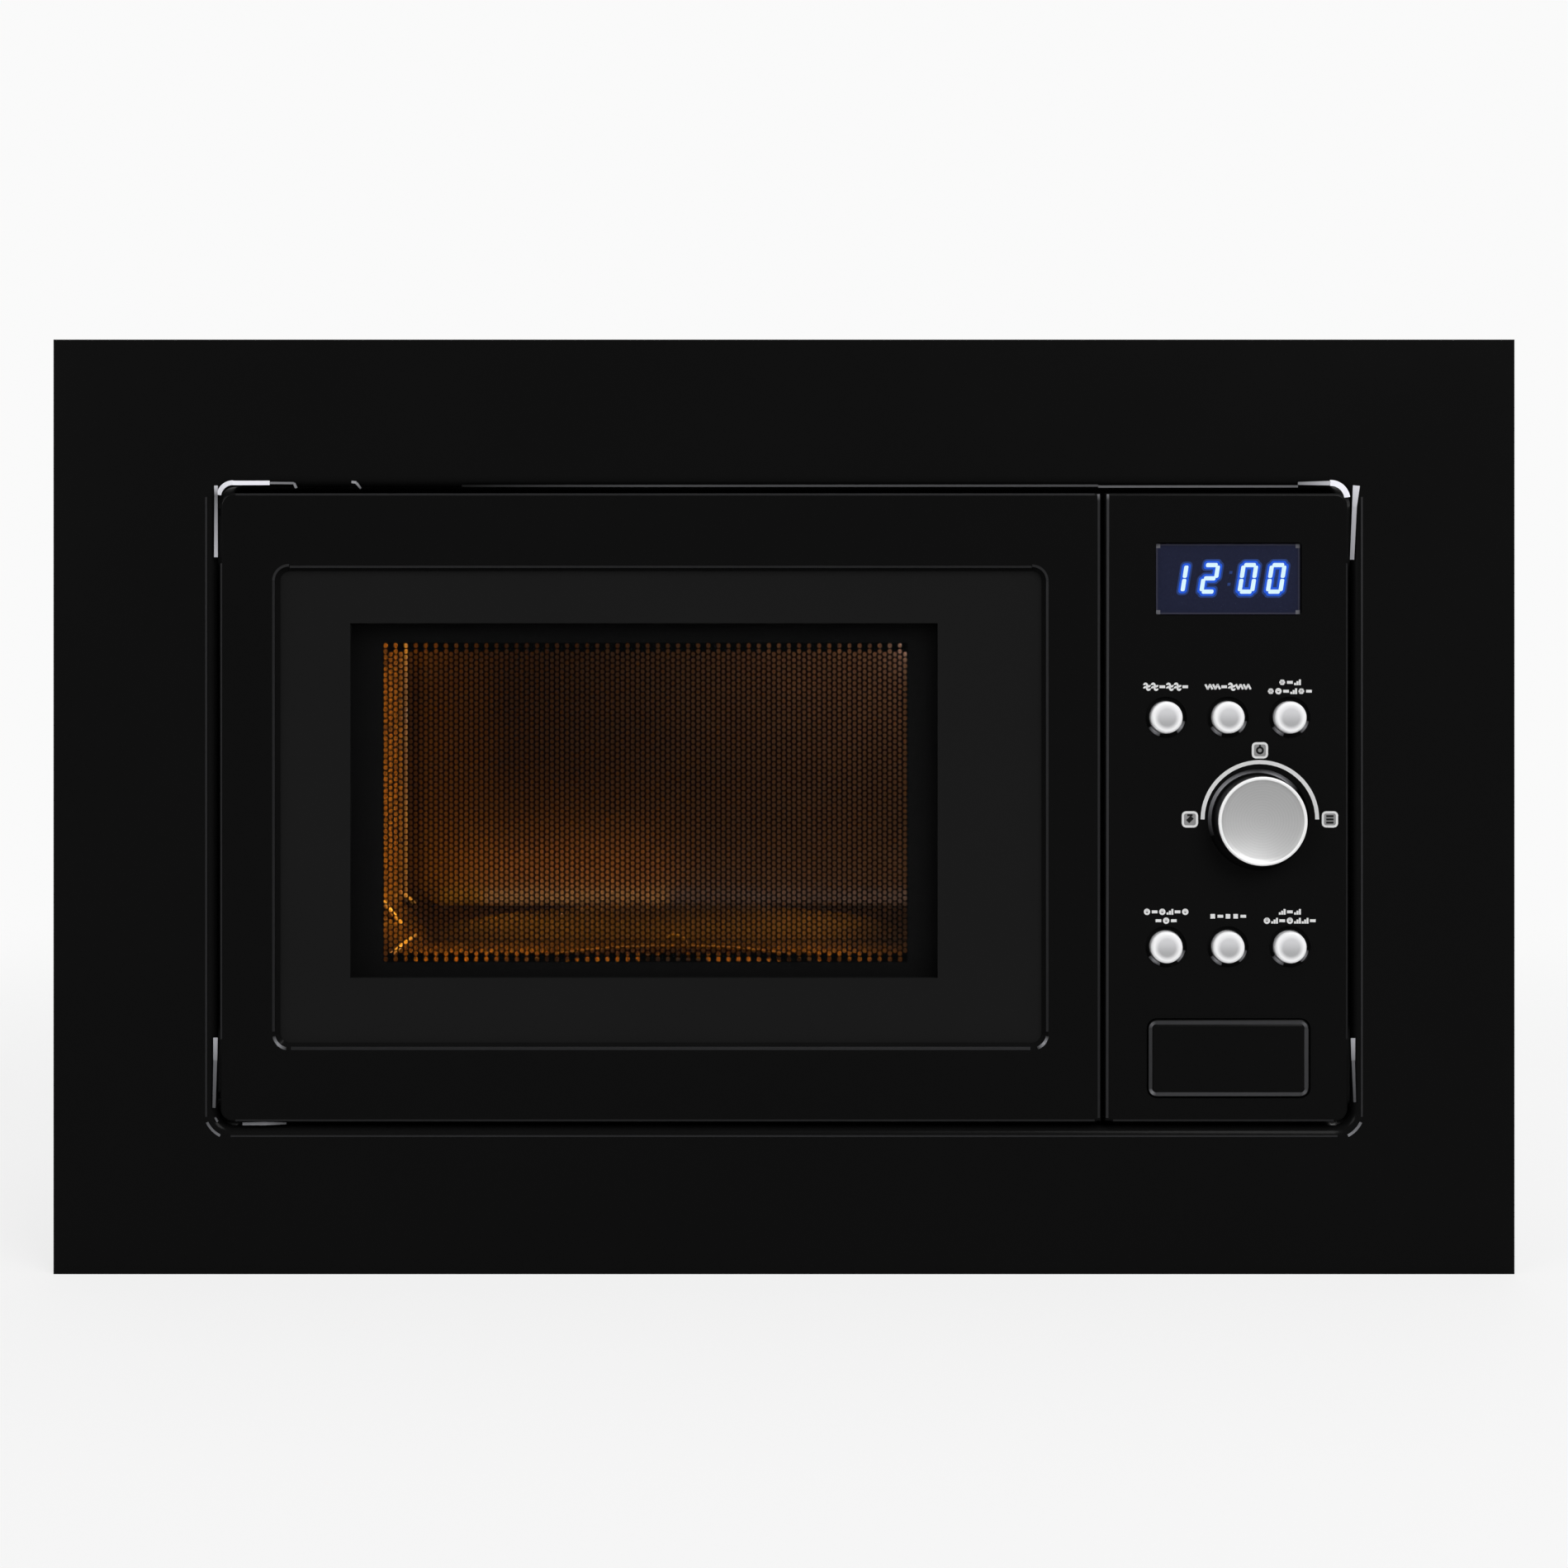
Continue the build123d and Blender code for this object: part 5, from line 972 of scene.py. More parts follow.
class Mark(Enum):
    """Small generic marks, drawn in shares of their own size."""

    WAVE = tuple(
        Hoop(side / 4, row * 0.3, 0.25, 90.0 + side * 90.0, 180.0) for row in (-1, 1) for side in (-1, 1)
    )
    ZIGZAG = tuple(Bar(step * 0.4, 0.0, 1.0, FINE, -62.0 if step else 62.0) for step in (-1, 0, 1))
    FLAKE = tuple(Bar(0.0, 0.0, 1.0, FINE, turn) for turn in (0.0, 60.0, 120.0))
    DIAL = (Hoop(0.0, 0.0, 0.38), Bar(0.0, 0.2, FINE, 0.4))
    BLOCK = (Bar(0.0, 0.0, 0.8, 0.8),)
    BARS = (Bar(-0.42, -0.3, FINE, 0.4), Bar(0.0, -0.15, FINE, 0.7), Bar(0.42, 0.0, FINE, 1.0))
    TICK = (Bar(0.0, 0.0, 1.0, 1.4 * FINE),)


@dataclass
class Prints(Assembly):
    """Printing on the control panel: the knob's scale, its symbols and rows of small marks."""

    face_y: float = -0.024
    ink_t: float = 0.00004
    scale_r: float = 0.02325
    scale_line: float = 0.0016
    scale_shift: float = 0.0006
    tile: float = 0.0066
    tile_cut: float = 0.26
    tile_line: float = 0.0009
    tile_rise: float = 0.0280
    tile_reach: float = 0.0284
    mark_step: float = 0.0031
    row_rise: float = 0.0124
    row_step: float = 0.0036
    symbols: tuple[tuple[Bar | Hoop, ...], ...] = (
        (Hoop(0.0, 0.0, 0.0012), Bar(0.0, 0.0017, THIN, 0.0011)),
        (Bar(0.0, 0.0, 0.0026, 0.0018, 45.0), Bar(0.0, 0.0017, 0.0022, THIN)),
        tuple(Bar(0.0, row * 0.0013, 0.0030, THIN) for row in (-1, 0, 1)),
    )

    def _draw(self, mesh: Any, spot: Spot, strokes: tuple[Bar | Hoop, ...], size: float = 1.0) -> None:
        """Print bars and hoops round a spot.

        Args:
            mesh: The bmesh to add to.
            spot: The spot on the panel's face.
            strokes: The bars and hoops.
            size: Metres that a length of 1 stands for.
        """
        for stroke in strokes:
            centre = (spot[0] + stroke.across * size, self.face_y, spot[1] + stroke.up * size)
            if isinstance(stroke, Hoop):
                Kit.ring(mesh, centre, stroke.radius * size, THIN, stroke.start, stroke.turn)
            else:
                verts = Kit.plate(mesh, stroke.width * size, stroke.height * size, centre)
                turn = Matrix.Rotation(radians(-stroke.turn), 3, "Y")
                bmesh.ops.rotate(mesh, verts=verts, cent=centre, matrix=turn)

    def _rows(self, mesh: Any) -> None:
        """Print one or two rows of marks above each button.

        Args:
            mesh: The bmesh to add to.
        """
        wave, zigzag, flake, dial, block, bars, tick = Mark
        rows = {
            "microwave_button": ((wave, wave, tick, wave, wave, tick),),
            "grill_button": ((zigzag, zigzag, tick, wave, zigzag, zigzag),),
            "defrost_button": ((flake, tick, bars), (flake, dial, tick, bars, flake, tick)),
            "clock_button": ((dial, tick, dial, bars, tick, dial), (tick, dial, tick)),
            "stop_button": ((block, tick, block, block, tick),),
            "start_button": ((bars, tick, bars), (dial, bars, tick, dial, bars, bars, tick)),
        }
        for node, lines in rows.items():
            x, _, z = middle_of(node)
            for level, line in enumerate(lines):
                rise = self.row_rise + (len(lines) - 1 - 2 * level) * self.row_step / 2
                for step, mark in enumerate(line):
                    spot = (x + (step - (len(line) - 1) / 2) * self.mark_step, z + rise)
                    self._draw(mesh, spot, mark.value, MARK)

    def _tile(self, mesh: Any, spot: Spot) -> list:
        """Add one rounded tile, and return its vertices."""
        centre = (spot[0], self.face_y, spot[1])
        return Kit.plate(mesh, self.tile, self.tile, centre, self.tile * self.tile_cut)

    def _piece(self, mesh: Any, name: str, level: int, finish: Finish) -> None:
        """Raise flat ink to its thickness and make it a piece.

        Args:
            mesh: The bmesh of flat ink.
            name: The piece's name.
            level: Its number of layers.
            finish: Its finish.
        """
        Kit.raise_by(mesh, level * self.ink_t)
        Kit.finish_piece(mesh, name, "case", finish)

    def build(self) -> None:
        """Print the scale, the three tiles with their symbols and the rows of marks."""
        x, _, z = middle_of("knob")
        x += self.scale_shift
        fills, marks, white = bmesh.new(), bmesh.new(), bmesh.new()
        Kit.ring(white, (x, self.face_y, z), self.scale_r, self.scale_line, 0, 180)
        tiles = ((x, z + self.tile_rise), (x - self.tile_reach, z), (x + self.tile_reach, z))
        for spot, strokes in zip(tiles, self.symbols):
            self._tile(fills, spot)
            self._draw(marks, spot, strokes)
            faces = Kit.faces_at(self._tile(white, spot))
            bmesh.ops.inset_individual(white, faces=faces, thickness=self.tile_line, depth=0.0)
            bmesh.ops.delete(white, geom=faces, context="FACES")
        self._rows(white)
        self._piece(fills, "symbol_tiles", 1, self.paints.tile_ink)
        self._piece(white, "panel_printing", 2, self.paints.ink)
        self._piece(marks, "symbol_marks", 2, self.paints.mark_ink)


@dataclass
class Knob(Assembly):
    """The knob: a dark skirt, a polished rim painted near white as a painted highlight, and a dished silver
    face, all turned round one axis.
    """

    rim_w: float = 0.0007
    edge_r: float = 0.0006
    lip: float = 0.0006
    dish: float = 0.0020
    dish_steps: int = 10
    edge_steps: int = 5
    turn_steps: int = 96

    def build(self) -> None:
        """Turn the knob's profile into one closed shell that stands for the CAD knob."""
        low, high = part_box("knob")
        centre = middle_of("knob")
        radius = (high[0] - low[0]) / 2
        front, rear = low[1], high[1]
        face_r = radius - self.edge_r - self.rim_w
        corner = radius - self.edge_r
        edge = [
            (corner + self.edge_r * cos(turn), front + self.edge_r * (1 - sin(turn)))
            for turn in (step * pi / 2 / self.edge_steps for step in range(self.edge_steps + 1))
        ]
        dish = [
            (face_r * share, front + self.lip * 0.4 + self.dish * (1 - share * share))
            for share in (1 - step / self.dish_steps for step in range(self.dish_steps + 1))
        ]
        profile = [(0.0, rear), (radius, rear), *edge, (face_r + self.lip * 0.5, front), *dish]
        mesh = bmesh.new()
        line = [mesh.verts.new((centre[0] + r, y, centre[2])) for r, y in profile]
        edges = [mesh.edges.new(pair) for pair in zip(line, line[1:])]
        Kit.spin(mesh, line, edges, centre, 360, self.turn_steps)
        bmesh.ops.remove_doubles(mesh, verts=mesh.verts, dist=Kit.NEAR)
        bmesh.ops.recalc_face_normals(mesh, faces=mesh.faces)
        skirt = front + self.edge_r * 0.9
        finish = TurnedCap("knob silver", grey(0.68), 0.42, 0.4, centre, face_r, skirt)
        piece = Kit.finish_piece(mesh, "knob_turned", "knob_unit", finish, "silver_plastic", smooth=True)
        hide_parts("knob")


@dataclass(frozen=True)
class Streak:
    """A straight painted highlight, with its widths and tones from start to end."""

    start: Spot
    end: Spot
    widths: Pair
    tones: Pair

    def lay(self, mesh: Any, tone: Any, y: float) -> None:
        """Lay the stretch.

        Args:
            mesh: The bmesh to add to.
            tone: Its tone layer.
            y: How deep it lies.
        """
        across, up = (b - a for a, b in zip(self.start, self.end))
        length = hypot(across, up)
        verts = Kit.plate(mesh, 1.0, length, (0.0, 0.0, 0.0))
        for vert in verts:
            share = vert.co.z / length + 0.5
            vert.co.x *= between(self.widths, share)
            vert[tone] = between(self.tones, share)
        aim = Matrix.Rotation(atan2(across, up), 3, "Y")
        middle = ((self.start[0] + self.end[0]) / 2, y, (self.start[1] + self.end[1]) / 2)
        bmesh.ops.rotate(mesh, verts=verts, cent=(0.0, 0.0, 0.0), matrix=aim)
        bmesh.ops.translate(mesh, vec=middle, verts=verts)


@dataclass(frozen=True)
class Bend:
    """A painted highlight along an arc, with its angles in degrees and its tones from start to end."""

    centre: Spot
    radius: float
    line: float
    start: float
    turn: float
    tones: Pair

    def lay(self, mesh: Any, tone: Any, y: float) -> None:
        """Lay the stretch.

        Args:
            mesh: The bmesh to add to.
            tone: Its tone layer.
            y: How deep it lies.
        """
        x, z = self.centre
        known = set(mesh.verts)
        Kit.ring(mesh, (x, y, z), self.radius, self.line, self.start, self.turn)
        for vert in (made for made in mesh.verts if made not in known):
            angle = degrees(atan2(vert.co.z - z, vert.co.x - x))
            vert[tone] = between(self.tones, ((angle - self.start + 1.0) % 360 - 1.0) / self.turn)


def arc(centre: Spot, radius: float, line: float, *stops: Pair) -> tuple[Bend, ...]:
    """Return the bends of an arc whose tone runs through stops.

    Args:
        centre: The arc's centre.
        radius: Its middle radius.
        line: Its line width.
        stops: An angle in degrees and its tone, for each stop.

    Returns:
        One bend between each stop and the next.
    """
    return tuple(
        Bend(centre, radius, line, start[0], end[0] - start[0], (start[1], end[1]))
        for start, end in zip(stops, stops[1:])
    )


@dataclass
class Gleams(Assembly):
    """Painted highlights on edges, laid as thin strips that carry their own tone."""

    TONE = "tone"
    name: str
    front_y: float
    stretches: tuple[Streak | Bend, ...]
    depth: float = 0.0001
    body: str = "case"

    def build(self) -> None:
        """Lay every stretch in one piece on the body."""
        mesh = bmesh.new()
        tone = mesh.verts.layers.float.new(self.TONE)
        for stretch in self.stretches:
            stretch.lay(mesh, tone, self.front_y)
        Kit.raise_by(mesh, self.depth)
        Kit.finish_piece(mesh, self.name, self.body, self.paints.bare)


@dataclass
class WindowScreen(Assembly):
    """The perforated sheet behind the window glass."""

    middle_x: float = -0.057
    middle_z: float = 0.191
    columns: int = 104
    rows: int = 55
    fewer: int = 3
    column_pitch: float = 0.002072
    row_pitch: float = 0.002386
    hole_rim: float = 0.00028
    hole_cut: float = 0.00048
    hole_corners: int = 8
    inset: float = 0.01

    def _column(self, mesh: Any, x: float, face_y: float, fewer: int) -> None:
        """Add one column of holes, with a plain strip at each end in place of those left out.

        Args:
            mesh: The bmesh to add to.
            x: The column's middle.
            face_y: The sheet's middle plane.
            fewer: Number of holes left out.
        """
        rows = self.rows - fewer
        ends = fewer * self.row_pitch / 2
        made = bmesh.ops.create_grid(mesh, x_segments=1, y_segments=rows, size=0.5, matrix=Kit.FACING)
        verts = made["verts"]
        bmesh.ops.scale(mesh, vec=(self.column_pitch, 1.0, self.row_pitch * rows), verts=verts)
        bmesh.ops.translate(mesh, vec=(x, face_y, self.middle_z), verts=verts)
        top = max(vert.co.z for vert in verts)
        low = min(vert.co.z for vert in verts)
        faces = Kit.faces_at(verts)
        for level, way in ((top, 1), (low, -1)) if fewer else ():
            rim = [
                edge for face in faces for edge in face.edges
                if all(abs(vert.co.z - level) < Kit.NEAR for vert in edge.verts)
            ]
            strip = bmesh.ops.extrude_edge_only(mesh, edges=rim)
            bmesh.ops.translate(mesh, vec=(0.0, 0.0, way * ends), verts=Kit.made_verts(strip))
        bmesh.ops.inset_individual(mesh, faces=faces, thickness=self.hole_rim, depth=0.0)
        Kit.bevel(mesh, list(dict.fromkeys(vert for face in faces for vert in face.verts)), self.hole_cut, 1)
        holes = [face for face in mesh.faces if len(face.verts) == self.hole_corners]
        bmesh.ops.delete(mesh, geom=holes, context="FACES")

    def _border(self) -> Any:
        """Make the plain border round the holes, and return its bmesh."""
        low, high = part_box("perforated_screen")
        centre = middle_of("perforated_screen")
        border = bmesh.new()
        Kit.plate(border, high[0] - low[0], high[2] - low[2], centre)
        outer = list(border.faces)
        bmesh.ops.inset_individual(border, faces=outer, thickness=self.inset, depth=0.0)
        half_w = self.columns * self.column_pitch / 2
        half_h = self.rows * self.row_pitch / 2
        for vert in outer[0].verts:
            vert.co.x = self.middle_x + (half_w if vert.co.x > centre[0] else -half_w)
            vert.co.z = self.middle_z + (half_h if vert.co.z > centre[2] else -half_h)
        bmesh.ops.delete(border, geom=outer, context="FACES")
        return border

    def build(self) -> None:
        """Make the border and the columns of holes, and stand them in for the plain sheet."""
        face_y = middle_of("perforated_screen")[1]
        left = self.middle_x - self.columns * self.column_pitch / 2
        mesh = bmesh.new()
        self._column(mesh, left + self.column_pitch / 2, face_y, 0)
        self._column(mesh, left + 1.5 * self.column_pitch, face_y, self.fewer)
        bmesh.ops.recalc_face_normals(mesh, faces=mesh.faces)
        holes = Kit.finish_piece(mesh, "screen_holes", "door", self.paints.screen, "screen_black")
        repeat = holes.modifiers.new("columns", "ARRAY")
        repeat.use_relative_offset = False
        repeat.use_constant_offset = True
        repeat.constant_offset_displace = (2 * self.column_pitch, 0.0, 0.0)
        repeat.count = self.columns // 2
        # The border takes the lighter margin finish: painted light on the plain part of the same black sheet.
        border = Kit.finish_piece(self._border(), "screen_border", "door", self.paints.margin, "screen_black")
        for piece in (holes, border):
            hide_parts("perforated_screen")


@dataclass
class Door(Assembly):
    """The door's visible faces, its seal and the parts that swing with it."""

    edge_y: float = -0.02392
    # Painted highlights along the door's edges and the window bezel, brightest at its lower corners.
    edges: tuple[Streak | Bend, ...] = (
        Streak((-0.2071, 0.2818), (-0.2071, 0.0990), (0.0010, 0.0010), (0.012, 0.012)),
        Streak((-0.2005, 0.2876), (0.1005, 0.2876), (0.0010, 0.0010), (0.012, 0.009)),
        Streak((0.1068, 0.2818), (0.1068, 0.0990), (0.0010, 0.0010), (0.018, 0.012)),
        Streak((-0.2000, 0.0922), (0.1000, 0.0922), (0.0013, 0.0013), (0.013, 0.02)),
        Streak((0.1276, 0.3170), (0.1277, 0.3145), (0.0010, 0.0010), (0.16, 0.02)),
        Streak((0.1277, 0.3145), (0.1277, 0.0640), (0.0009, 0.0009), (0.018, 0.013)),
        Streak((-0.2283, 0.2890), (-0.2283, 0.0960), (0.0007, 0.0007), (0.014, 0.014)),
        Streak((-0.2225, 0.3169), (0.1260, 0.3169), (0.0008, 0.0008), (0.012, 0.018)),
        Streak((-0.2225, 0.0630), (0.1260, 0.0630), (0.0008, 0.0008), (0.01, 0.01)),
        *arc((-0.2008, 0.2819), 0.0063, 0.0010, (90.0, 0.014), (180.0, 0.02)),
        *arc((0.1007, 0.2819), 0.0061, 0.0010, (0.0, 0.018), (90.0, 0.012)),
        *arc((-0.2008, 0.0982), 0.0062, 0.0012, (190.0, 0.02), (225.0, 0.26), (260.0, 0.02)),
        *arc((0.1007, 0.0982), 0.0062, 0.0012, (290.0, 0.02), (320.0, 0.28), (350.0, 0.02)),
    )

    def build(self) -> None:
        """Dress the door's nodes and make its screen and its painted edge highlights."""
        self.dress(
            moulding="door_frame", inner_panel="door_bezel", screen="perforated_screen", white="latch_hooks",
            smoked="window_glass", pane="inner_glass", seal_paint="choke_frame", cover="choke_cover",
            steel="hinge_pins",
        )
        WindowScreen(self.paints).build()
        Gleams(self.paints, "door_edge_highlights", self.edge_y, self.edges, body="door").build()


@dataclass
class Controls(Assembly):
    """The control panel with its buttons, knob, clock and printing."""

    cap: Colour = (0.9, 0.9, 0.91)
    button_travel: float = 0.005
    button_sink: float = 0.00005
    edge_y: float = -0.02392
    recess_y: float = -0.0228
    recess_depth: float = 0.00005
    # Painted highlights: crescents in each button's recess and an arc round the knob's recess.
    crescent_r: float = 0.0075
    crescent_line: float = 0.0013
    crescent_half: float = 20.0
    crescents: tuple[Pair, ...] = ((212.0, 0.4), (308.0, 0.32))
    crescent_end: float = 0.3
    knob_r: float = 0.0196
    knob_line: float = 0.0015
    knob_stops: tuple[Pair, ...] = ((36.0, 0.02), (62.0, 0.42), (90.0, 0.1), (140.0, 0.34), (200.0, 0.02))
    # Painted highlights along the panel's edges.
    edges: tuple[Streak, ...] = (
        Streak((0.1314, 0.3170), (0.1314, 0.3145), (0.0010, 0.0010), (0.17, 0.03)),
        Streak((0.1314, 0.3145), (0.1311, 0.0640), (0.0010, 0.0010), (0.032, 0.018)),
        Streak((0.2283, 0.2890), (0.2283, 0.0960), (0.0007, 0.0007), (0.008, 0.008)),
        Streak((0.1335, 0.0630), (0.2230, 0.0630), (0.0008, 0.0008), (0.01, 0.01)),
    )
    # Painted highlights round the door button's edge.
    door_button: tuple[Streak | Bend, ...] = (
        Streak((0.1509, 0.1028), (0.2093, 0.1028), (0.0015, 0.0015), (0.034, 0.038)),
        Streak((0.1509, 0.0738), (0.2093, 0.0738), (0.0015, 0.0015), (0.042, 0.044)),
        Streak((0.14855, 0.1004), (0.14855, 0.0762), (0.0014, 0.0014), (0.03, 0.028)),
        Streak((0.2117, 0.1004), (0.2117, 0.0762), (0.0016, 0.0016), (0.04, 0.036)),
        *arc((0.15095, 0.1004), 0.0024, 0.0013, (90.0, 0.03), (135.0, 0.1), (180.0, 0.024)),
        *arc((0.2093, 0.1004), 0.0024, 0.0013, (0.0, 0.03), (45.0, 0.1), (90.0, 0.03)),
        *arc((0.15095, 0.0762), 0.0024, 0.0013, (180.0, 0.024), (225.0, 0.18), (270.0, 0.03)),
        *arc((0.2093, 0.0762), 0.0024, 0.0013, (270.0, 0.034), (315.0, 0.09), (360.0, 0.03)),
    )
    buttons: tuple[str, ...] = (
        "microwave_button", "grill_button", "defrost_button", "clock_button", "stop_button", "start_button",
    )

    def _spring(self) -> None:
        """Stand a copy of the door button's spring in for it."""
        mesh = bmesh.new()
        mesh.from_mesh(frame["nodes"]["button_spring"].data)
        finish = self.paints.spring_steel
        piece = Kit.finish_piece(mesh, "spring_coil", "case", finish, "bright_steel", smooth=True)
        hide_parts("button_spring")
        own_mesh(piece)

    def _recess_highlights(self) -> tuple[Bend, ...]:
        """Return the painted highlights in the recesses round the buttons and the knob."""
        bends = []
        for x, _, z in map(middle_of, self.buttons):
            for start, level in self.crescents:
                low, half = level * self.crescent_end, self.crescent_half
                stops = ((start, low), (start + half, level), (start + 2 * half, low))
                bends += arc((x, z), self.crescent_r, self.crescent_line, *stops)
        x, _, z = middle_of("knob")
        return (*bends, *arc((x, z), self.knob_r, self.knob_line, *self.knob_stops))

    def build(self) -> None:
        """Dress the controls and add the clock, the knob, the printing and the painted edge highlights."""
        self.dress(moulding="control_panel door_button")
        for node in self.buttons:
            cap = PushCap(node.replace("_", " ") + " cap", self.cap, 0.2, 0.3, centre=middle_of(node))
            self.dress_nodes(cap, node)
        self.dress(
            steel="encoder_shaft", black_part="encoder knob", board="control_board",
            spring_steel="button_spring",
        )
        self._spring()
        Knob(self.paints).build()
        Clock(self.paints).build()
        Prints(self.paints).build()
        low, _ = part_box("door_button")
        button_y = low[1] + self.button_sink
        Gleams(self.paints, "recess_highlights", self.recess_y, self._recess_highlights(), self.recess_depth).build()
        Gleams(self.paints, "door_button_highlights", button_y, self.door_button, body="open_button").build()
        Gleams(self.paints, "panel_edge_highlights", self.edge_y, self.edges).build()


@dataclass
class Case(Assembly):
    """The trim frame, the folded case and what fixes them."""

    seal_depth: float = 0.007
    seal_rise: float = 0.0055
    seal_drop: float = 0.0135
    seal_round: float = 0.0016
    seal_inset: float = 0.0005
    seal_reach: float = 0.0055
    lip_y: float = -0.02205
    lip_depth: float = 0.00015
    # Painted highlights on the frame's rolled lip, brightest near the corners.
    lip: tuple[Streak | Bend, ...] = (
        Streak((-0.2309, 0.3206), (-0.2309, 0.3166), (0.0015, 0.0013), (0.6, 0.2)),
        Streak((-0.2309, 0.3166), (-0.2309, 0.2915), (0.0013, 0.0015), (0.16, 0.5)),
        Streak((-0.2240, 0.3217), (-0.2091, 0.3217), (0.0018, 0.0018), (0.95, 0.9)),
        Streak((-0.2091, 0.3217), (-0.1992, 0.3216), (0.0009, 0.0009), (0.22, 0.2)),
        Streak((-0.1992, 0.3216), (-0.1982, 0.3196), (0.0010, 0.0010), (0.24, 0.2)),
        Streak((-0.1758, 0.3221), (-0.1738, 0.3219), (0.0010, 0.0010), (0.3, 0.34)),
        Streak((-0.1738, 0.3217), (-0.1720, 0.3194), (0.0010, 0.0008), (0.3, 0.1)),
        Streak((-0.1310, 0.3205), (-0.0570, 0.3205), (0.0009, 0.0009), (0.0, 0.055)),
        Streak((-0.0570, 0.3205), (0.1277, 0.3206), (0.0009, 0.0009), (0.055, 0.06)),
        Streak((0.1277, 0.3202), (0.2089, 0.3203), (0.0009, 0.0009), (0.11, 0.11)),
        Streak((-0.2349, 0.3160), (-0.2349, 0.0640), (0.0008, 0.0008), (0.016, 0.016)),
        Streak((0.2349, 0.3160), (0.2349, 0.0640), (0.0008, 0.0008), (0.02, 0.02)),
        Streak((-0.2250, 0.0562), (0.2250, 0.0562), (0.0008, 0.0008), (0.014, 0.018)),
        Streak((0.2089, 0.3215), (0.2222, 0.3216), (0.0012, 0.0018), (0.2, 0.5)),
        Streak((0.2327, 0.3206), (0.2319, 0.3120), (0.0028, 0.0019), (0.7, 0.5)),
        Streak((0.2319, 0.3120), (0.2309, 0.2905), (0.0019, 0.0017), (0.46, 0.3)),
        Streak((-0.2311, 0.0962), (-0.2312, 0.0870), (0.0018, 0.0016), (0.4, 0.22)),
        Streak((-0.2312, 0.0870), (-0.2317, 0.0677), (0.0015, 0.0012), (0.14, 0.08)),
        Streak((-0.2201, 0.0612), (-0.2110, 0.0613), (0.0012, 0.0014), (0.2, 0.26)),
        Streak((-0.2110, 0.0613), (-0.2023, 0.0614), (0.0014, 0.0008), (0.24, 0.1)),
        Streak((0.2313, 0.0960), (0.2314, 0.0870), (0.0018, 0.0015), (0.4, 0.2)),
        Streak((0.2314, 0.0870), (0.2320, 0.0700), (0.0013, 0.0010), (0.12, 0.06)),
        *arc((-0.2240, 0.3160), 0.0058, 0.0019, (90.0, 0.9), (172.0, 0.7)),
        *arc((0.2222, 0.3149), 0.0068, 0.0024, (8.0, 0.98), (92.0, 0.98)),
        *arc((-0.2240, 0.0667), 0.0116, 0.0010, (205.0, 0.1), (243.0, 0.16)),
        *arc((0.2240, 0.0667), 0.0116, 0.0011, (297.0, 0.2), (335.0, 0.12)),
        *arc((-0.2238, 0.0672), 0.0082, 0.0008, (205.0, 0.1), (219.0, 0.1)),
    )

    def _seal(self) -> None:
        """Make the soft strips that close the gaps above and below the case, behind the frame's lip."""
        low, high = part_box("outer_wrap")
        width = high[0] - low[0] + 2 * self.seal_reach
        middle_y = low[1] + self.seal_inset + self.seal_depth / 2
        mesh = bmesh.new()
        for level, way, rise in ((high[2], 1, self.seal_rise), (low[2], -1, self.seal_drop)):
            size = (width, self.seal_depth, rise)
            centre = (0.0, middle_y, level + way * rise / 2)
            verts = bmesh.ops.create_cube(mesh, size=1.0)["verts"]
            bmesh.ops.scale(mesh, vec=size, verts=verts)
            bmesh.ops.translate(mesh, vec=centre, verts=verts)
            far = [vert for vert in verts if (vert.co.z - centre[2]) * way > 0]
            outer = [edge for edge in mesh.edges if all(vert in far for vert in edge.verts)]
            Kit.bevel(mesh, outer, self.seal_round, 4, "EDGES")
        Kit.finish_piece(mesh, "lip_seal", "case", self.paints.foam)

    def build(self) -> None:
        """Dress the outer sheet metal, and add the painted highlights on the lip and the strips in the lip's
        gap.
        """
        self.dress(
            frame="trim_frame", steel="case_screws", black_part="cord_gland",
            zinc="frame_bracket_left frame_bracket_right riser_rail_left riser_rail_right outer_wrap "
            "base_plate rear_panel front_plate hinge_arms interlock_bracket",
        )
        Gleams(self.paints, "lip_gleams", self.lip_y, self.lip, self.lip_depth).build()
        self._seal()


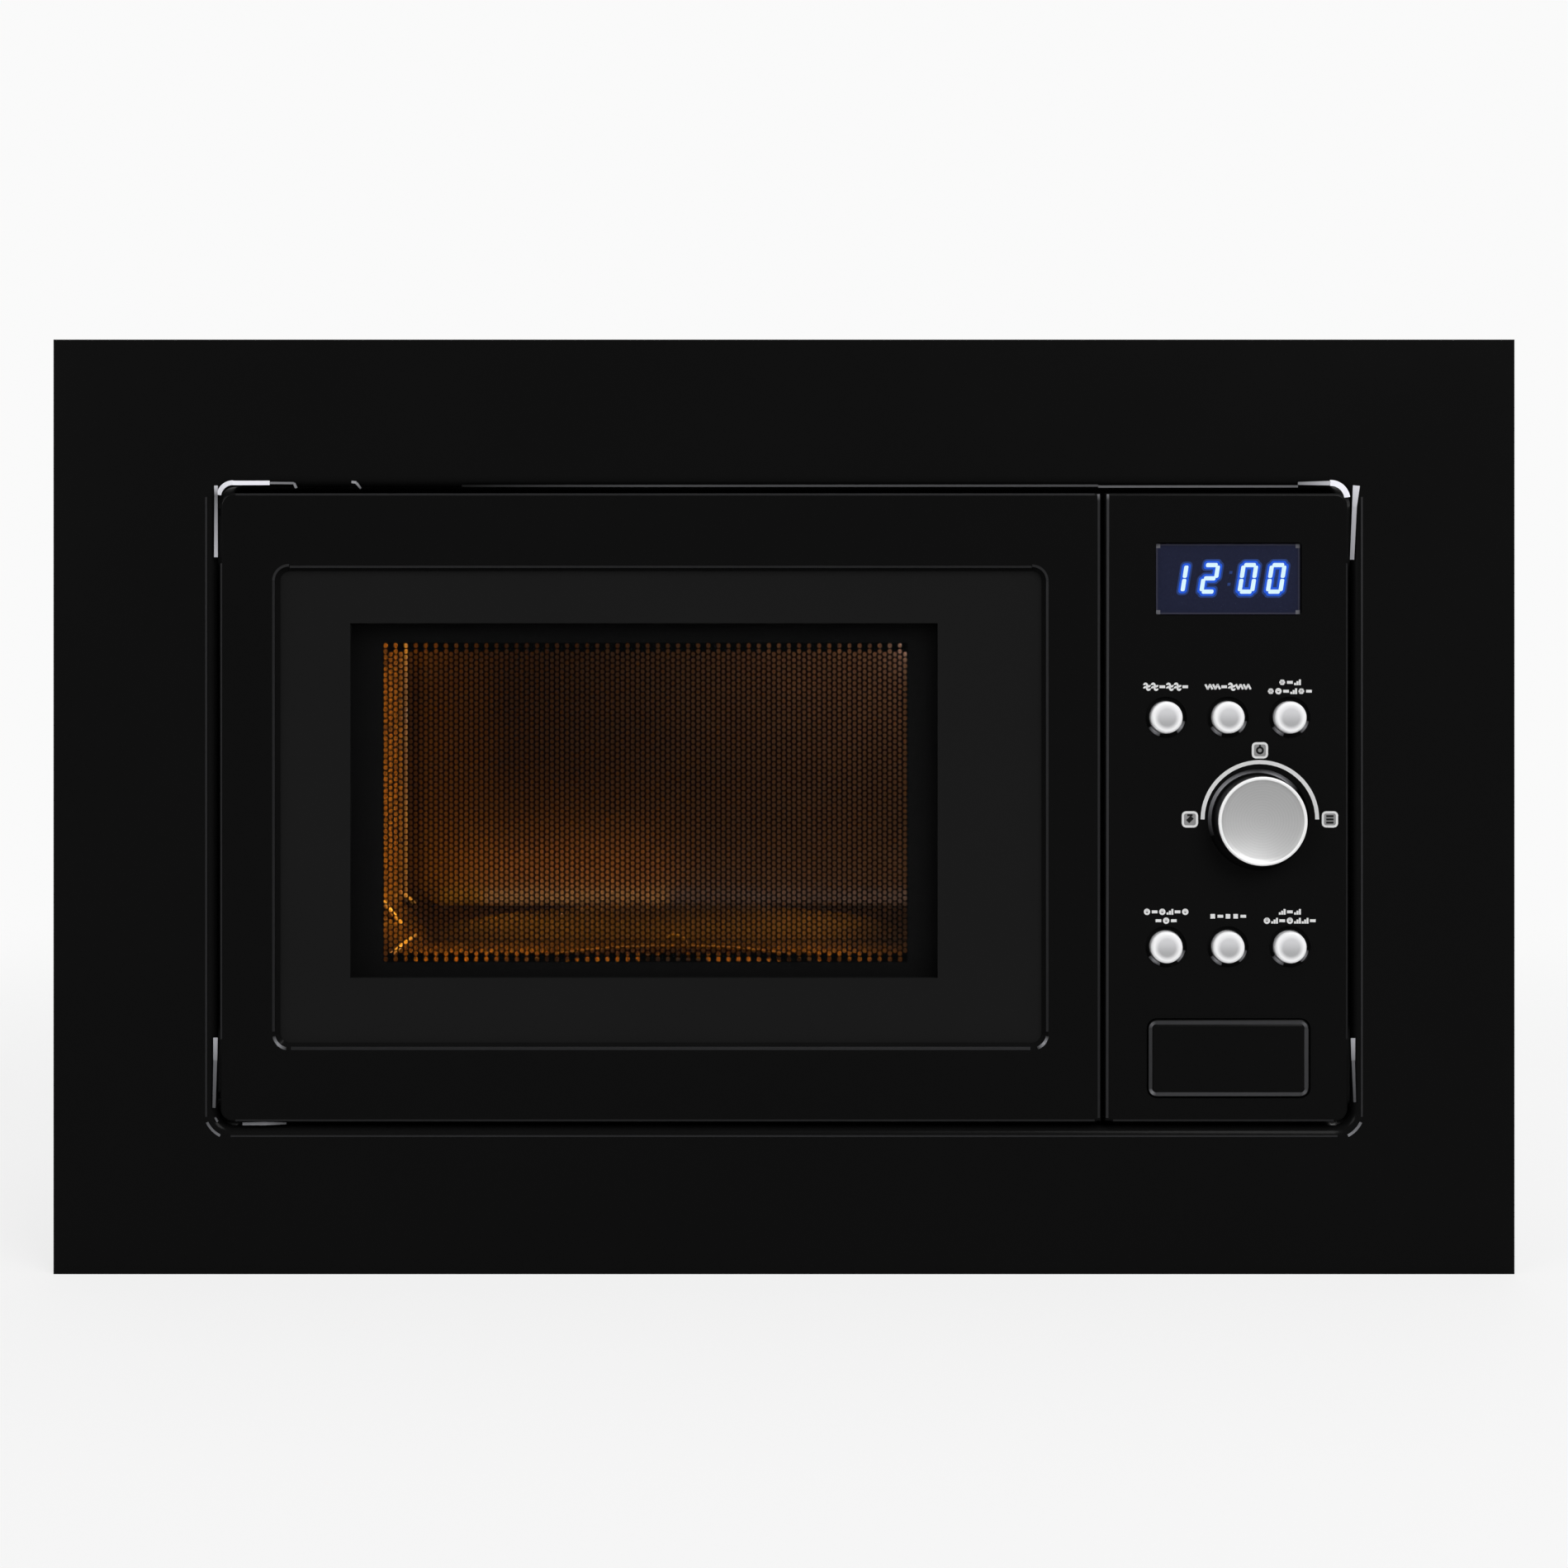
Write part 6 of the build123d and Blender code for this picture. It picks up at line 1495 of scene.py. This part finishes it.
@dataclass
class Chamber(Assembly):
    """The cooking chamber, its turntable, grill and lamp."""

    walls_x: Pair = (-0.2098, 0.0958)
    walls_y: Pair = (0.0070, 0.3056)
    floor_z: float = 0.0902
    cove: float = 0.0182
    sheet: float = 0.0006
    highlight_bead: float = 0.0012
    bead_sides: int = 10
    # Ends of the near-white rods: painted highlights laid along the corners and the cove.
    highlight_beads: tuple[tuple[Point, Point], ...] = (
        ((-0.2094, 0.3052, 0.1090), (-0.2094, 0.3052, 0.2900)),
        ((0.0954, 0.3052, 0.1090), (0.0954, 0.3052, 0.2900)),
        ((-0.2096, 0.2377, 0.1173), (-0.2038, 0.2606, 0.1023)),
        ((-0.2094, 0.2902, 0.1162), (-0.2047, 0.3052, 0.1078)),
        ((-0.1976, 0.2630, 0.0964), (-0.1980, 0.1840, 0.0968)),
    )

    def _cove(self) -> None:
        """Make the sloping cove where the walls meet the floor, open at the front, in a darker enamel that
        paints the shade at the foot of the walls.
        """
        left, right = self.walls_x
        front, rear = self.walls_y
        top = self.floor_z + self.cove
        mesh = bmesh.new()
        corners = ((left, front), (left, rear), (right, rear), (right, front))
        path = [mesh.verts.new((x, y, top)) for x, y in corners]
        edges = [mesh.edges.new(pair) for pair in zip(path, path[1:])]
        for vert in Kit.made_verts(bmesh.ops.extrude_edge_only(mesh, edges=edges)):
            vert.co.x += self.cove if vert.co.x < (left + right) / 2 else -self.cove
            vert.co.y -= self.cove if vert.co.y > (front + rear) / 2 else 0.0
            vert.co.z = self.floor_z
        bmesh.ops.recalc_face_normals(mesh, faces=mesh.faces)
        bmesh.ops.solidify(mesh, geom=list(mesh.faces), thickness=self.sheet)
        bmesh.ops.recalc_face_normals(mesh, faces=mesh.faces)
        Kit.finish_piece(mesh, "cavity_cove", "case", self.paints.cove)

    def _highlight_beads(self) -> None:
        """Make the near-white rods along the corners and the cove, painted highlights where the enamelled
        sheets meet.
        """
        mesh = bmesh.new()
        for start, end in self.highlight_beads:
            line = Vector(end) - Vector(start)
            place = Matrix.Translation((Vector(start) + Vector(end)) / 2)
            aim = line.to_track_quat("Z", "Y").to_matrix().to_4x4()
            bmesh.ops.create_cone(
                mesh, cap_ends=True, segments=self.bead_sides, radius1=self.highlight_bead, radius2=self.highlight_bead,
                depth=line.length, matrix=place @ aim,
            )
        Kit.finish_piece(mesh, "cavity_highlight_beads", "case", self.paints.highlight_bead, smooth=True)

    def build(self) -> None:
        """Dress the chamber and what stands in it."""
        self._cove()
        self._highlight_beads()
        self.dress(
            enamel="oven_cavity", mica="waveguide_cover", plate="glass_turntable", clear="oven_lamp",
            brown_part="turntable_coupler roller_ring roller_1 roller_2 roller_3", element="grill_element",
            zinc="lamp_bracket turntable_motor",
        )


@dataclass
class PowerParts(Assembly):
    """The parts in the compartment behind the control panel."""

    def build(self) -> None:
        """Dress the hidden power and cooling parts."""
        self.dress(
            zinc="waveguide", alloy="magnetron capacitor fan_motor", core="transformer",
            black_part="fan_shroud fan_impeller thermal_cutouts", filter="filter_board",
            white="latch_lever door_switches",
        )


@dataclass
class Studio:
    """Camera, floor, lamps and surroundings."""

    eye: Point = (0.0, -0.924, 0.269)
    plane_y: float = -0.022
    view_w: float = 0.6375
    view_middle_z: float = 0.1993
    white: float = 0.955
    sensor: float = 36.0
    room: float = 0.36
    room_front: float = 0.006
    room_rear: float = 0.22
    floor_r: float = 1.4
    floor_y: float = 0.15
    floor_tone: float = 0.8
    floor_lit: float = 0.8
    floor_fade: Pair = (0.45, 1.1)

    def camera(self) -> None:
        """Stand the camera where the photograph was taken from."""
        lens = bpy.data.cameras.new("camera")
        lens.sensor_width = self.sensor
        depth = self.plane_y - self.eye[1]
        lens.lens = self.sensor * depth / self.view_w
        lens.shift_y = (self.view_middle_z - self.eye[2]) / self.view_w
        lens.clip_start = 0.01
        camera = bpy.data.objects.new("camera", lens)
        camera.location = self.eye
        camera.rotation_euler = (radians(90), 0.0, 0.0)
        bpy.context.scene.collection.objects.link(camera)
        bpy.context.scene.camera = camera

    def lamp(
        self, name: str, place: Point, aim: Point, size: Pair, power: float,
        colour: Colour = (1.0, 1.0, 1.0), spread: float = 180.0,
    ) -> None:
        """Add a rectangular area lamp.

        Args:
            name: The lamp's name.
            place: Where it stands.
            aim: The point it faces.
            size: Its width and height.
            power: Watts.
            colour: Its colour.
            spread: Full angle of its beam in degrees.
        """
        light = bpy.data.lights.new(name, "AREA")
        light.spread = radians(spread)
        light.shape = "RECTANGLE"
        light.size, light.size_y = size
        light.energy = power
        light.color = colour
        lamp = bpy.data.objects.new(name, light)
        lamp.location = place
        lamp.rotation_euler = (Vector(aim) - Vector(place)).to_track_quat("-Z", "Y").to_euler()
        bpy.context.scene.collection.objects.link(lamp)

    def lamps(self) -> None:
        """Light the front, the top and the back softly, and the chamber by its own lamp and dim glows."""
        middle, rear = (0.0, 0.0, 0.19), (0.0, 0.3, 0.19)
        amber, brown = (1.0, 0.42, 0.02), (1.0, 0.66, 0.5)
        for lamp in (
            ("key lamp", (1.1, -1.6, 1.6), middle, (1.3, 1.3), 33.0),
            ("fill lamp", (-1.5, -1.4, 1.0), middle, (1.0, 1.0), 12.0),
            ("top lamp", (0.0, 0.2, 1.7), (0.0, 0.2, 0.3), (1.2, 1.0), 7.0),
            ("rear lamp", (0.7, 2.3, 1.2), rear, (1.4, 1.4), 16.0),
            ("oven lamp", (0.088, 0.16, 0.262), (-0.1, 0.3, 0.2), (0.036, 0.036), 0.31, brown),
            ("wall glow", (-0.14, 0.262, 0.19), (-0.21, 0.262, 0.19), (0.07, 0.18), 0.22, amber, 50.0),
            ("corner glow", (-0.195, 0.272, 0.285), (-0.2, 0.3058, 0.28), (0.01, 0.03), 0.03, amber, 90.0),
            ("rear glow", (-0.13, 0.266, 0.107), (-0.13, 0.3058, 0.136), (0.13, 0.008), 0.022, amber, 70.0),
            ("rear haze", (-0.04, 0.266, 0.107), (-0.04, 0.3058, 0.134), (0.26, 0.008), 0.013, brown, 70.0),
            ("floor glow", (-0.08, 0.235, 0.15), (-0.08, 0.23, 0.09), (0.24, 0.05), 0.4, amber, 90.0),
        ):
            self.lamp(*lamp)

    def world(self) -> None:
        """Surround the object with white for the eye, an even dim light, and a dark room in front."""
        world = bpy.data.worlds.new("studio")
        bpy.context.scene.world = world
        world.use_nodes = True
        nodes = Nodes(world.node_tree)
        paths = nodes.node("ShaderNodeLightPath")
        place = nodes.out("ShaderNodeTexCoord", "Generated")
        depth = nodes.out("ShaderNodeSeparateXYZ", 1, inputs={0: place})
        front = depth.ramp(-0.1, 0.5, self.room_front, self.room_rear)
        glossy = nodes.blend(Socket(nodes, paths.outputs["Is Glossy Ray"]), grey(self.room), front)
        seen = nodes.blend(Socket(nodes, paths.outputs["Is Camera Ray"]), glossy, grey(self.white))
        shine = nodes.out("ShaderNodeBackground", 0, inputs={"Color": seen})
        nodes.node("ShaderNodeOutputWorld", inputs={"Surface": shine})

    def floor(self) -> None:
        """Lay a pale floor that keeps the object's shadow and fades into the white around it."""
        mesh = bmesh.new()
        bmesh.ops.create_circle(mesh, cap_ends=True, segments=96, radius=self.floor_r)
        bmesh.ops.translate(mesh, vec=(0.0, self.floor_y, 0.0), verts=mesh.verts)
        floor = Kit.new_object(mesh, "floor")
        floor.visible_glossy = False
        shader = Shader("pale floor")
        shader.set(Base_Color=grey(self.floor_tone), Roughness=0.9, Specular_IOR_Level=0.0)
        x, y, _ = shader.axes()
        back = y - self.floor_y
        far = (x * x + back * back) ** 0.5
        eye = shader.out("ShaderNodeLightPath", "Is Camera Ray")
        glow = shader.out("ShaderNodeEmission", 0, inputs={"Color": grey(self.white)})
        clear = shader.out("ShaderNodeBsdfTransparent")
        matt = Socket(shader, shader.surface.outputs[0])
        lit = shader.out("ShaderNodeMixShader", inputs={0: eye * self.floor_lit, 1: matt, 2: glow})
        faded = shader.out("ShaderNodeMixShader", inputs={0: far.ramp(*self.floor_fade), 1: lit, 2: clear})
        shader.fill(shader.output.inputs["Surface"], faded)
        floor.data.materials.append(shader.material)

    def build(self) -> None:
        """Set up the whole studio."""
        self.camera()
        self.floor()
        self.lamps()
        self.world()
        bpy.context.scene.view_settings.view_transform = "Standard"


def main() -> None:
    """Build the oven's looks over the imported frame."""
    logging.basicConfig(level=logging.INFO, format="%(message)s")
    paints = Paints()
    Studio().build()
    Case(paints).build()
    Chamber(paints).build()
    PowerParts(paints).build()
    Door(paints).build()
    Controls(paints).build()
    bare = [
        name for name, node in frame["nodes"].items()
        if not any(material.get("finish") for material in node.data.materials)
    ]
    LOG.info("nodes without a finish: %s", bare)


if __name__ == "__main__":
    main()
